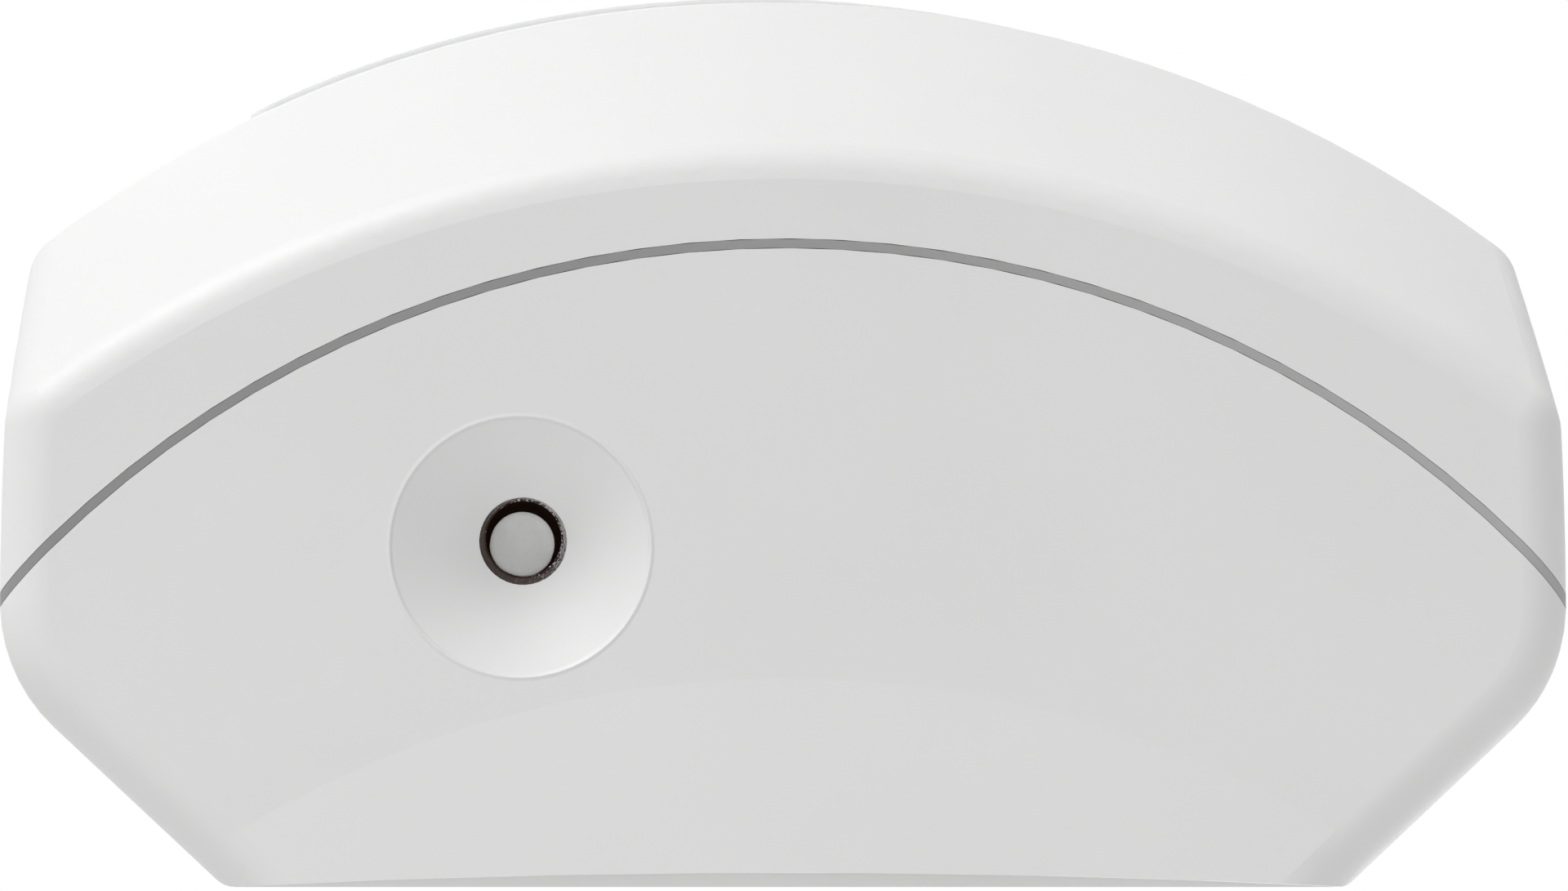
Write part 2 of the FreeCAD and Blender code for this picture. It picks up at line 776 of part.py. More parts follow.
def snap_limits(side, end, x_margin, inner, outer):
    """Limits along X and Z of something at a snap arm, between two heights from the mid plane."""
    middle = side * arm_x
    x = (middle - arm_width / 2 - x_margin, middle + arm_width / 2 + x_margin)
    z = (inner, outer) if end > 0 else (-outer, -inner)
    return x, z


def snap_pocket(name, side, end):
    """The blind pocket inside an end wall that holds a barb."""
    x, z = snap_limits(side, end, barb_clearance, inner_end_z - 0.5, inner_end_z + barb_reach)
    back = arm_tip_depth - barb_clearance
    front = arm_tip_depth + barb_depth + barb_clearance
    return box("snap_pocket_" + name, x, (-front, -back), z)


def make_rear_housing():
    solid = common("rear_solid", [master, parting_drum("rear_drum", parting_radius)])
    hollow = cut("rear_hollow", solid, [cavity])
    body = fuse("rear_body", [hollow, rear_lip()] + rear_additions())
    return cut("rear_housing", body, rear_cuts())


def make_seal():
    """The grey gasket that lies round the lip and fills the parting gap, flush with the skin."""
    front = parting_drum("seal_front", parting_radius + parting_gap - seal_slit)
    band = common("seal_band", [master, front])
    lip_face = wall - lip_wall - seal_slit
    inside = plan_block("seal_inside", lip_face, 0, lip_face + flare_rise)
    return cut("seal_gasket", band, [parting_drum("seal_back", parting_radius + seal_slit), inside])


# Front cover

def window_prism(name, margin):
    """The lens window's rounded rectangle drawn through the front, grown by a margin."""
    corner = window_corner + margin
    corners = rounded_plate(window_width / 2 + margin, window_height / 2 + margin, corner)
    sketch = outline(name + "_outline", corners, y=-board_front, facing=FACING_FRONT)
    return extrude(name, sketch, (0, -1, 0), front_depth)


def stake_places():
    """Sides and levels of the four stake posts that hold the lens frame."""
    return ((-1, -1), (1, -1), (-1, 1), (1, 1))


def frame_depth_at(x, z, inset):
    """Depth of the crowned front at a place across and up, set in by an inset."""
    swing = front_bulge_radius - inset
    arc = front_arc_radius - inset
    level = front_depth - inset - (swing - root(swing * swing - z * z))
    return level - (arc - root(arc * arc - x * x))


def cover_additions():
    """Stake posts for the lens frame, the tamper post and the snap arms."""
    pieces = []
    front = frame_depth_at(stake_x, stake_z, wall)
    back = front - lens_wall - frame_thick - stake_stand
    for number, (side, level) in enumerate(stake_places()):
        length = front - back + wall / 2
        spot = (side * stake_x, -back, level * stake_z, FACING_FRONT)
        pieces.append(cylinder("stake_%d" % number, stake_diameter / 2, length, *spot))
    tip = board_front + tamper_body_height + plunger_stand + post_gap
    front = frame_depth_at(tamper_x, switch_z, wall)
    length = front - tip + wall / 2
    spot = (tamper_x, -tip, switch_z, FACING_FRONT)
    pieces.append(cylinder("tamper_post", post_diameter / 2, length, *spot))
    for name, side, end in snap_places():
        inner = inner_end_z - arm_clearance - arm_thick
        x, z = snap_limits(side, end, 0, inner, inner_end_z - arm_clearance)
        pieces.append(box("arm_" + name, x, (-arm_root_depth, -arm_tip_depth), z))
        x, z = snap_limits(side, end, 0, inner, inner_end_z + 0.2)
        root_back = arm_root_depth - arm_root_length
        pieces.append(box("arm_root_" + name, x, (-arm_root_depth, -root_back), z))
        pieces.append(snap_barb(name, side, end))
    return pieces


def snap_barb(name, side, end):
    """The wedge at an arm's tip: a ramp behind and a square catch in front."""
    inner = inner_end_z - arm_clearance - 0.4
    face = inner_end_z - arm_clearance
    outer = face + barb_reach - barb_clearance
    start = side * arm_x - arm_width / 2
    tip = arm_tip_depth
    catch = arm_tip_depth + barb_depth
    if end > 0:
        corners = [(-catch, inner), (-tip, inner), (-tip, face), (-catch, outer)]
    else:
        corners = [(-catch, -outer), (-tip, -face), (-tip, -inner), (-catch, -inner)]
    sketch = outline("barb_%s_side" % name, corners, x=start, facing=FreeCAD.Rotation(V(1, 1, 1), 120))
    return extrude("barb_" + name, sketch, (1, 0, 0), arm_width)


def make_front_cover():
    shell = cut("cover_solid", master, [parting_drum("cover_drum", parting_radius + parting_gap)])
    rebate_inset = wall - lip_wall - lip_clearance
    rebate_block = plan_block("rebate_block", rebate_inset, floor_wall, rebate_inset + flare_rise)
    rebate_reach = parting_radius + lip_height + 0.3
    rebate = common("rebate", [rebate_block, parting_drum("rebate_drum", rebate_reach)])
    hollow = cut("cover_hollow", shell, [cavity, rebate])
    with_posts = fuse("cover_with_posts", [hollow] + cover_additions())
    return cut("front_cover", with_posts, [window_prism("window", 0)])


# Lens and its frame

def lens_cell(name, column, row):
    """One zone of the lens, scooped out of its inner face between the ribs."""
    open_width = window_width - 2 * (lens_wall + lens_clearance)
    open_height = window_height - 2 * (lens_wall + lens_clearance)
    pitch_x = open_width / lens_columns
    pitch_z = open_height / lens_rows
    x = (column + 0.5) * pitch_x - open_width / 2
    z = (row + 0.5) * pitch_z - open_height / 2
    face = frame_depth_at(x, z, lens_wall - lens_stand)
    solid = add("Part::Box", name)
    width = pitch_x - lens_rib
    height = pitch_z - lens_rib
    bind(solid, "Length", width)
    bind(solid, "Width", 4)
    bind(solid, "Height", height)
    lean_x = math.degrees(math.asin(x.value / front_arc_radius.value))
    lean_z = -math.degrees(math.asin(z.value / front_bulge_radius.value))
    turn = FreeCAD.Rotation(V(0, 0, 1), lean_x).multiply(FreeCAD.Rotation(V(1, 0, 0), lean_z))
    corner = turn.multVec(V(-width.value / 2, -lens_relief.value, -height.value / 2))
    spot = V(x.value, -face.value, z.value) + corner
    solid.Placement = FreeCAD.Placement(spot, turn)
    return solid


def make_fresnel_lens():
    """A crowned window with a skirt, a flange behind the cover and a grid of zones on its inner face."""
    plug = window_prism("lens_plug", -lens_clearance)
    crown = common("lens_crown", [front_bulge("lens_front", -lens_stand), plug])
    seat = wall + lens_clearance / 2
    flange_plate = window_prism("lens_flange_plate", lens_flange)
    flange = common("lens_flange", [front_bulge("lens_seat", seat), flange_plate])
    solid = fuse("lens_solid", [crown, flange])
    skirt_margin = -lens_clearance - lens_wall
    hollow_front = front_bulge("lens_inner_front", lens_wall - lens_stand)
    hollow = common("lens_hollow", [hollow_front, window_prism("lens_hollow_plan", skirt_margin)])
    behind = front_bulge("lens_behind", seat + lens_wall)
    zones = []
    for column in range(int(lens_columns.value)):
        for row in range(int(lens_rows.value)):
            zones.append(lens_cell("lens_zone_%d_%d" % (column, row), column, row))
    return cut("fresnel_lens", solid, [hollow, behind] + zones)


def make_lens_frame():
    """A curved frame on the stake posts, which presses the lens flange to the cover."""
    front = wall + lens_clearance / 2 + lens_wall + frame_gap
    plan = window_prism("frame_plan", frame_width)
    plate = common("frame_plate", [front_bulge("frame_front", front), plan])
    tools = [front_bulge("frame_behind", front + frame_thick), window_prism("frame_opening", -frame_overlap)]
    for number, (side, level) in enumerate(stake_places()):
        spot = (side * stake_x, -board_front, level * stake_z, FACING_FRONT)
        tools.append(cylinder("stake_hole_%d" % number, stake_hole / 2, front_depth, *spot))
    return cut("lens_frame", plate, tools)


# Light sensor

def make_light_sensor():
    """The dark bush, the light guide sunk in it and the photodiode that it leads to."""
    foot = recess_depth - end_face_z
    tip = foot - bezel_stand
    top = recess_boss_height - inner_end_z
    outer = bezel_diameter / 2 - bezel_slit
    bore = bezel_bore / 2
    guide = guide_diameter / 2
    sleeve = guide + guide_slit
    step = tip + guide_sink
    profile = [
        (bore, tip), (bore + bezel_tip_wall, tip), (outer, foot), (outer, top), (sleeve, top), (sleeve, step),
    ]
    turned("light_sensor_bezel", profile, sensor_x, -sensor_depth, 0, "XZ_Plane")
    end = -board_height / 2 - guide_gap
    corners = [(0, step), (guide, step), (guide, end), (0, end)]
    turned("light_guide", corners, sensor_x, -sensor_depth, 0, "XZ_Plane")
    x = (sensor_x - photodiode_width / 2, sensor_x + photodiode_width / 2)
    y = (-board_front - photodiode_height, -board_front)
    low = -board_height / 2
    diode = box("photodiode_case", x, y, (low + 0.3, low + photodiode_thick))
    eye_x = (sensor_x - guide, sensor_x + guide)
    eye_y = (-sensor_depth - guide, -sensor_depth + guide)
    eye = box("photodiode_eye", eye_x, eye_y, (low, low + 0.5))
    return fuse("photodiode", [diode, eye])


# Circuit board

def make_circuit_board():
    half_x = board_width / 2
    half_z = board_height / 2
    corners = rounded_plate(half_x, half_z, board_corner)
    sketch = outline("board_outline", corners, y=-board_back, facing=FACING_FRONT)
    plate = extrude("board_plate", sketch, (0, -1, 0), board_thick)
    tools = []
    start = overlap - board_back
    length = board_thick + 2 * overlap
    for name, side, level in pillar_places():
        spot = (side * pillar_x, start, level * pillar_z, FACING_FRONT)
        tools.append(cylinder("board_hole_" + name, board_hole / 2, length, *spot))
    for number, (x, z) in enumerate(pyro_pins()):
        spot = (x, start, z, FACING_FRONT)
        tools.append(cylinder("pin_hole_%d" % number, pyro_pin_hole / 2, length, *spot))
    return cut("circuit_board", plate, tools)


def pyro_pins():
    """Places of the sensor's three pins."""
    half = pyro_pin_circle / 2
    return ((half, pyro_z), (-half, pyro_z), (sized(0), pyro_z - half))


def make_pyro_sensor():
    """Metal can with its window, and the foam ring that keeps draughts off it."""
    flange = pyro_flange / 2
    can = pyro_can / 2
    base = -board_front
    top = base - pyro_height
    rim = base - pyro_flange_thick
    bend = pyro_flange_thick
    profile = [
        (0, top), (can - bend, top), (can, top + bend), (can, rim), (flange, rim), (flange, base), (0, base),
    ]
    shell = turned("pyro_shell", profile, 0, 0, pyro_z)
    half_x = pyro_window_width / 2
    half_z = pyro_window_height / 2
    seat_y = (top, top + pyro_window_thick)
    seat_z = (pyro_z - half_z, pyro_z + half_z)
    tool = box("window_seat", (-half_x, half_x), (top - overlap, seat_y[1]), seat_z)
    seated = cut("pyro_seated", shell, [tool])
    pins = []
    for number, (x, z) in enumerate(pyro_pins()):
        spot = (x, base + pyro_pin_length, z, FACING_FRONT)
        pins.append(cylinder("pyro_pin_%d" % number, pyro_pin / 2, pyro_pin_length + pyro_pin / 2, *spot))
    fuse("pyro_sensor_can", [seated] + pins)
    window_z = (pyro_z - half_z + end_slit, pyro_z + half_z - end_slit)
    box("pyro_sensor_window", (end_slit - half_x, half_x - end_slit), seat_y, window_z)
    inner = flange + shroud_clearance
    outer = inner + shroud_wall
    front = base - shroud_height
    ring = [(inner, front), (outer, front), (outer, base), (inner, base)]
    turned("sensor_shroud", ring, 0, 0, pyro_z)


def on_board(name, x, z, half_x, half_z, height, lift=0):
    """A box that stands on the board."""
    start = board_front + lift
    return box(name, (x - half_x, x + half_x), (-start - height, -start), (z - half_z, z + half_z))


def make_controller():
    """Flat package with a row of leads on two sides."""
    half = controller_width / 2
    lift = lead_thick / 2
    case_height = controller_height - lift
    pieces = [on_board("controller_case", controller_x, controller_z, half, half, case_height, lift)]
    reach = half + lead_reach
    for number in range(int(lead_count.value)):
        z = controller_z + (number - (lead_count - 1) / 2) * lead_pitch
        pieces.append(on_board("lead_%d" % number, controller_x, z, reach, lead_width / 2, lead_thick))
    return fuse("microcontroller", pieces)


def make_radio():
    """Daughter board, its shield can and the stamped antenna."""
    half_x = radio_width / 2
    half_z = radio_height / 2
    on_board("radio_board", radio_x, radio_z, half_x, half_z, radio_board_thick)
    shield = on_board("shield_can", radio_x, radio_z, half_x - shield_margin, half_z - shield_margin,
                      shield_height, radio_board_thick)
    soft = add("Part::Fillet", "radio_shield")
    doc.recompute()
    soft.Base = shield
    front = -board_front - radio_board_thick - shield_height
    bend = shield_bend.value
    soft.Edges = [(number, bend, bend) for number, edge in enumerate(shield.Shape.Edges, 1)
                  if abs(edge.CenterOfMass.y - front.value) < 0.01]
    half = antenna_width / 2
    long = antenna_length / 2
    plate = on_board("antenna_plate", antenna_x, antenna_z, half, long, antenna_sheet, antenna_stand)
    slot_x = antenna_x + antenna_arm
    slot_height = antenna_sheet + 2 * overlap
    slot = on_board("antenna_slot", slot_x, antenna_z + antenna_arm, half, antenna_slit / 2, slot_height,
                    antenna_stand - overlap)
    slotted = cut("antenna_slotted", plate, [slot])
    legs = []
    for name, level in (("low", -1), ("high", 1)):
        z = antenna_z + level * (long - antenna_sheet / 2)
        leg = on_board("antenna_leg_" + name, antenna_x, z, antenna_leg / 2, antenna_sheet / 2,
                       antenna_stand + antenna_sheet)
        legs.append(leg)
    return fuse("antenna", [slotted] + legs)


def make_light_and_capacitor():
    """Indicator light with its flange and slanted top, and the capacitor's can."""
    base = -board_front
    radius = led_diameter / 2
    top = base - led_height
    rim = base - led_flange_height
    light = [
        (0, top), (radius - led_top, top), (radius, top + led_top), (radius, rim),
        (led_flange / 2, rim), (led_flange / 2, base), (0, base),
    ]
    turned("status_led", light, 0, 0, led_z)
    radius = capacitor_diameter / 2
    top = base - capacitor_height
    bend = capacitor_bend
    can = [(0, top), (radius - bend, top), (radius, top + bend), (radius, base), (0, base)]
    turned("bulk_capacitor", can, capacitor_x, 0, capacitor_z)


def make_small_parts():
    """Crystal and the row of chips."""
    half_x = crystal_length / 2
    half_z = crystal_width / 2
    corners = rounded_plate(half_x, half_z, half_z * 0.9)
    sketch = outline("crystal_outline", corners, crystal_x, -board_front, crystal_z, FACING_FRONT)
    extrude("crystal", sketch, (0, -1, 0), crystal_height)
    chips = []
    for number in range(int(chip_count.value)):
        z = chip_top_z - number * chip_pitch
        chips.append(on_board("chip_%d" % number, chip_x, z, chip_length / 2, chip_width / 2, chip_height))
    group = add("Part::Compound", "chip_parts")
    group.Links = chips


# Switches

def make_switch(name, x, height, moving_diameter, travel):
    """A square switch body with a guide hole for its moving part."""
    half = switch_width / 2
    case = on_board(name + "_case", x, switch_z, half, half, height)
    hole = moving_diameter / 2 + plunger_clearance
    depth = plunger_sink + travel + plunger_end_gap
    start = board_front + height - depth
    bore = cylinder(name + "_guide", hole, depth + overlap, x, -start, switch_z, FACING_FRONT)
    return cut(name, case, [bore])


def moving_profile(radius, foot, top):
    """Profile of a plunger or button cap from its foot to its chamfered top."""
    edge = plunger_edge
    return [(0, -top), (radius - edge, -top), (radius, edge - top), (radius, -foot), (0, -foot)]


def make_switches():
    make_switch("tamper_switch_body", tamper_x, tamper_body_height, plunger_diameter, plunger_overtravel)
    face = board_front + tamper_body_height
    profile = moving_profile(plunger_diameter / 2, face - plunger_sink, face + plunger_stand)
    turned("tamper_plunger", profile, tamper_x, 0, switch_z)
    make_switch("pairing_button_body", button_x, button_body_height, button_diameter, button_travel)
    face = board_front + button_body_height
    profile = moving_profile(button_diameter / 2, face - plunger_sink, face + button_stand)
    turned("pairing_button_cap", profile, button_x, 0, switch_z)


# Battery

def battery_axis_depth():
    return board_front + cradle_floor + cradle_clearance + battery_diameter / 2


def lying_round(name, radius, x, depth, z):
    """A cylinder that lies along X between two limits."""
    solid = add("Part::Cylinder", name)
    bind(solid, "Radius", radius)
    bind(solid, "Height", sized(x[1]) - x[0])
    return place(solid, x[0], -depth, z, FreeCAD.Rotation(V(0, 1, 0), 90))


def make_battery():
    """Sealed cell with its raised button, lying across the board."""
    half = battery_length / 2
    radius = battery_diameter / 2
    shoulder = half - battery_button_length
    edge = battery_edge
    button = battery_button / 2
    profile = [
        (0, -half), (radius - edge, -half), (radius, edge - half), (radius, shoulder - edge),
        (radius - edge, shoulder), (button, shoulder), (button, half), (0, half),
    ]
    cell = turned("battery", profile)
    return place(cell, 0, -battery_axis_depth(), battery_z, FreeCAD.Rotation(V(0, 0, 1), -90))


def cradle_limits():
    """Half length inside the cradle's end walls, and half width inside its side walls."""
    half_long = battery_length / 2 + contact_spring + contact_thick + end_slit
    half_wide = battery_diameter / 2 + cradle_clearance
    return half_long, half_wide


def make_cradle():
    """Moulded tray: a saddle under the cell, low sides and tall end walls for the contacts."""
    half_long, half_wide = cradle_limits()
    long = half_long + cradle_wall
    wide = half_wide + cradle_wall
    low = sized(0)
    tray = on_board("cradle_tray", low, battery_z, long, wide, cradle_side_height)
    x_end = (half_long, long)
    y = (-board_front - cradle_end_height, -board_front)
    z = (battery_z - half_wide * 0.75, battery_z + half_wide * 0.75)
    ends = [box("cradle_end_right", x_end, y, z), box("cradle_end_left", (-long, -half_long), y, z)]
    body = fuse("cradle_body", [tray] + ends)
    depth = battery_axis_depth()
    saddle = lying_round("cradle_saddle", half_wide, (-half_long, half_long), depth, battery_z)
    return cut("battery_cradle", body, [saddle])


def make_contacts():
    """Sheet contacts on the end walls: flat for the button, bowed for the can."""
    half_long, _ = cradle_limits()
    depth = battery_axis_depth()
    y = (-depth - contact_height / 2, contact_height / 2 - depth)
    z = (battery_z - contact_width / 2, battery_z + contact_width / 2)
    sheet_x = half_long - contact_thick
    plate = box("positive_plate", (sheet_x, half_long), y, z)
    tip = battery_length / 2 + end_slit
    tongue = lying_round("positive_boss", contact_boss / 2, (tip, half_long), depth, battery_z)
    fuse("battery_contact_positive", [plate, tongue])
    back = box("negative_plate", (-half_long, -sheet_x), y, z)
    reach = half_long - contact_thick - battery_length / 2 - end_slit
    radius = arc_radius(contact_height / 2, reach)
    bow_x = reach - sheet_x - radius
    low = battery_z - contact_width / 2 + bow_margin
    bow_width = contact_width - 2 * bow_margin
    outside = cylinder("bow_outside", radius, bow_width, bow_x, -depth, low)
    inside = cylinder("bow_inside", radius - contact_thick, bow_width, bow_x, -depth, low)
    ring = cut("bow_ring", outside, [inside])
    bow = common("bow", [ring, box("bow_reach", (-sheet_x, reach - sheet_x + overlap), y, z)])
    return fuse("battery_contact_negative", [back, bow])


# Screws

def make_screws():
    """The two pan-head screws that hold the board, as one group."""
    screws = []
    head = screw_head / 2
    shank = screw_shank / 2
    top = board_front + screw_head_height
    tip = board_front - screw_length
    for name, side, level in pillar_places():
        if side == level:
            crown = screw_head_height / 2
            profile = [
                (0, -top), (head - crown, -top), (head, crown - top), (head, -board_front),
                (shank, -board_front), (shank, -tip - shank), (0, -tip),
            ]
            x = side * pillar_x
            z = level * pillar_z
            turned_screw = turned("screw_" + name, profile, x, 0, z)
            slot = on_board("screw_slot_" + name, x, z, head, slot_width / 2, screw_head_height, slot_foot)
            screws.append(cut("screw_cut_" + name, turned_screw, [slot]))
    group = add("Part::Compound", "board_screws")
    group.Links = screws


make_rear_housing()
make_seal()
make_front_cover()
make_fresnel_lens()
make_lens_frame()
make_light_sensor()
make_circuit_board()
make_pyro_sensor()
make_controller()
make_radio()
make_light_and_capacitor()
make_small_parts()
make_switches()
make_battery()
make_cradle()
make_contacts()
make_screws()
doc.recompute()

NODES = (
    "rear_housing", "seal_gasket", "front_cover", "fresnel_lens", "lens_frame", "light_sensor_bezel",
    "light_guide", "photodiode", "circuit_board", "pyro_sensor_can", "pyro_sensor_window", "sensor_shroud",
    "microcontroller", "radio_board", "radio_shield", "antenna", "status_led", "bulk_capacitor",
    "crystal", "chip_parts", "tamper_switch_body", "tamper_plunger", "pairing_button_body",
    "pairing_button_cap", "battery", "battery_cradle", "battery_contact_positive",
    "battery_contact_negative", "board_screws",
)

for thing in doc.Objects:
    if "Invalid" in thing.State or "Error" in thing.State:
        raise RuntimeError("%s failed: %s" % (thing.Label, thing.State))

for node in NODES:
    shape = doc.getObjectsByLabel(node)[0].Shape
    if shape.isNull() or not shape.isValid() or not shape.Solids:
        raise RuntimeError("%s has no valid solid" % node)
    shape.exportStep("parts/%s.step" % node)
    print("%-26s solids %d volume %9.2f" % (node, len(shape.Solids), shape.Volume))
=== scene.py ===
# %% [markdown]
# # A wall-mounted motion detector
# This lesson dresses a small white motion detector for a close view from below, as a fitter on a
# ladder sees it. The solid parts come from the CAD model, at full size. The camera, the lamps and a
# pale floor come first. Then the pieces get their finish: moulded plastic, a milky lens, a grey
# gasket, a dark bush with a light guide in it, and all that a closed housing hides.

# %% Load the model
import math

import bpy
from mathutils import Matrix, Vector


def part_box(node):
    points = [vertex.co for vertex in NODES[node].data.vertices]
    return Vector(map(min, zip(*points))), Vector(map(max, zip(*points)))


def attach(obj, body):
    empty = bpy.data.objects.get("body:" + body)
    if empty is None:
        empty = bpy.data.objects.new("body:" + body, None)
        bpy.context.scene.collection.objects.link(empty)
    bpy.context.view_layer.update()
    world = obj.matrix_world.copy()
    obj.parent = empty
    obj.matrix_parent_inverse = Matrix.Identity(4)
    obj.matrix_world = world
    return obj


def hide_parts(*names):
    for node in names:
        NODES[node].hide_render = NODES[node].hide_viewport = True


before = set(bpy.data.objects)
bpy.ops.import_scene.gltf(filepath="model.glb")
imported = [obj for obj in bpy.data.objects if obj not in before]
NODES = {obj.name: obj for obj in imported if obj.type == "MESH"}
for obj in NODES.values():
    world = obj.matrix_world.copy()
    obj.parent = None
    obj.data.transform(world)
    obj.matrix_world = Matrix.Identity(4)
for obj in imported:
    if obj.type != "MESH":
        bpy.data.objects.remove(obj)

for leftover in ("Cube", "Light", "Camera"):
    if leftover in bpy.data.objects:
        bpy.data.objects.remove(bpy.data.objects[leftover])
bpy.context.view_layer.update()

MM = 0.001

# %% [markdown]
# ## Places on the object
# The lens faces -Y and the wall is at +Y. The bottom end, which holds the light sensor, faces -Z.
# Most places are read from the pieces themselves. The camera, the lamps, many colours and some small
# sizes aren't: they were fitted to the photograph, or are guesses where it shows nothing.

# %% Read the places of the main pieces


def box_mm(node):
    """Lowest and highest corner of a piece, in millimetres."""
    low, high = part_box(node)
    return low / MM, high / MM


def middle_of(node):
    """Centre of a piece's box, in millimetres."""
    low, high = box_mm(node)
    return (low + high) / 2


guide_middle = middle_of("light_guide")
print("light guide at", [round(v, 2) for v in guide_middle], "mm")

# %% [markdown]
# ## Camera
# The camera looks almost straight up at the bottom end, from a little over a quarter of a metre, with
# a long lens. Its place and its aim were fitted to the outlines in the photograph. The picture's
# upper side is the front of the detector, so the camera's up direction is -Y. It stands level with
# the wall side, which hides the back, and is turned by three axes at right angles, which make its
# matrix without any angles.

# %% Place the camera
LENS_MM = 150.0
CAMERA_PLACE = Vector((-14.294, -0.1, -319.295)) * MM
CAMERA_AIM = Vector((-0.265, -17.98, -53.6)) * MM


def add_camera():
    """A camera that looks up at the bottom end, with the front of the object uppermost."""
    data = bpy.data.cameras.new("camera")
    data.lens = LENS_MM
    data.clip_start = 0.01
    data.clip_end = 20.0
    camera = bpy.data.objects.new("camera", data)
    bpy.context.collection.objects.link(camera)
    ahead = (CAMERA_AIM - CAMERA_PLACE).normalized()
    side = ahead.cross(Vector((0, -1, 0))).normalized()
    up = side.cross(ahead)
    turn = Matrix((side, up, -ahead)).transposed().to_4x4()
    camera.matrix_world = Matrix.Translation(CAMERA_PLACE) @ turn
    bpy.context.scene.camera = camera


add_camera()
print("camera is", round((CAMERA_AIM - CAMERA_PLACE).length, 3), "m from the bottom end")

# %% [markdown]
# ## Light
# The picture has soft light from the front and the left, and hardly a shadow. A pale world gives
# most of it from all round. One large lamp makes the chin the brightest place and leaves the right
# side darker. A weak lamp below, beside the camera, reaches into the recess, and one behind keeps
# the wall side readable. The background is white because the world answers the camera and the gloss
# of the pieces with plain white, while scattered light gets only the dimmer fill. Places and powers
# were tuned until the brightness came near the photograph's, so they are a likeness of its light and
# not a record of it.

# %% Light the scene
FILL = 0.62
# Name, place in metres, power in watts and width in metres
LAMPS = (
    ("key", (-0.52, -1.03, -0.34), 9.8, 0.6),
    ("low", (-0.13, 0.22, -0.42), 0.345, 0.25),
    ("back", (0.45, 0.85, 0.9), 4.5, 0.8),
)


def seen_directly(nodes, links):
    """A mask that is 1 for rays from the camera, a gloss or a clear piece, and 0 for scattered light."""
    path = nodes.new("ShaderNodeLightPath")
    seen = path.outputs["Is Camera Ray"]
    for ray in ("Is Glossy Ray", "Is Transmission Ray"):
        either = nodes.new("ShaderNodeMath")
        either.operation = "MAXIMUM"
        links.new(seen, either.inputs[0])
        links.new(path.outputs[ray], either.inputs[1])
        seen = either.outputs[0]
    return seen


def white_behind():
    """World: a pale fill for the surfaces, and plain white for what the camera and gloss see."""
    world = bpy.data.worlds.new("studio")
    bpy.context.scene.world = world
    world.use_nodes = True
    nodes = world.node_tree.nodes
    links = world.node_tree.links
    nodes.clear()
    mix = nodes.new("ShaderNodeMixShader")
    links.new(seen_directly(nodes, links), mix.inputs[0])
    for socket, level in ((1, FILL), (2, 1.0)):
        light = nodes.new("ShaderNodeBackground")
        light.inputs["Color"].default_value = (level, level, level, 1)
        links.new(light.outputs[0], mix.inputs[socket])
    out = nodes.new("ShaderNodeOutputWorld")
    links.new(mix.outputs[0], out.inputs["Surface"])


def soft_lamp(name, place, power, width):
    """A square lamp that faces the object."""
    data = bpy.data.lights.new(name, "AREA")
    data.energy = power
    data.size = width
    lamp = bpy.data.objects.new(name, data)
    bpy.context.collection.objects.link(lamp)
    lamp.location = place
    lamp.rotation_euler = (-Vector(place)).to_track_quat("-Z", "Y").to_euler()


white_behind()
for name, place, power, width in LAMPS:
    soft_lamp(name, place, power, width)
bpy.context.scene.view_settings.view_transform = "Standard"

# %% [markdown]
# ## How the finishes are made
# Every finish starts from the same three layers, all in object coordinates so that they stay fixed
# in the piece: a slow mottle in the colour, a finer one in the gloss, and a grain that bumps the
# surface. One function makes them. Special finishes then paint zones over them, each through a
# mask that says where: between two heights, near an axis, or inside a pattern.
# Image textures would need drawn pictures and a layout for every piece. Nodes need neither, and
# they stay sharp at any distance.

# %% Small tools for node trees


def calculate(tree, operation, first, second=0.0, third=0.0):
    """One math node. Each input is a number or another node's output."""
    node = tree.nodes.new("ShaderNodeMath")
    node.operation = operation
    for socket, value in zip(node.inputs, (first, second, third)):
        if isinstance(value, (int, float)):
            socket.default_value = value
        else:
            tree.links.new(value, socket)
    return node.outputs[0]


def place_in_mm(tree, centre=(0, 0, 0)):
    """Object coordinates in millimetres, measured from a centre."""
    where = tree.nodes.new("ShaderNodeTexCoord").outputs["Object"]
    scaled = tree.nodes.new("ShaderNodeMapping")
    scaled.inputs["Scale"].default_value = (1 / MM, 1 / MM, 1 / MM)
    scaled.inputs["Location"].default_value = tuple(-v for v in centre)
    tree.links.new(where, scaled.inputs["Vector"])
    return scaled.outputs[0]


def axes_of(tree, place):
    """The three coordinates of a place, one by one."""
    split = tree.nodes.new("ShaderNodeSeparateXYZ")
    tree.links.new(place, split.inputs[0])
    return split.outputs[0], split.outputs[1], split.outputs[2]


def noise(tree, place, size, detail=3.0):
    """Noise whose features are about as large as the size in millimetres."""
    node = tree.nodes.new("ShaderNodeTexNoise")
    node.inputs["Scale"].default_value = 1 / size
    node.inputs["Detail"].default_value = detail
    tree.links.new(place, node.inputs["Vector"])
    return node.outputs["Fac"]


def stretch(tree, value, from_low, from_high, low=0.0, high=1.0):
    """Maps one range of a value to another, and holds it there."""
    node = tree.nodes.new("ShaderNodeMapRange")
    for socket, number in zip(("From Min", "From Max", "To Min", "To Max"), (from_low, from_high, low, high)):
        node.inputs[socket].default_value = number
    tree.links.new(value, node.inputs["Value"])
    return node.outputs["Result"]


def between(tree, value, low, high):
    """A mask that is 1 where a value lies between two limits."""
    return calculate(tree, "COMPARE", value, (low + high) / 2, (high - low) / 2)


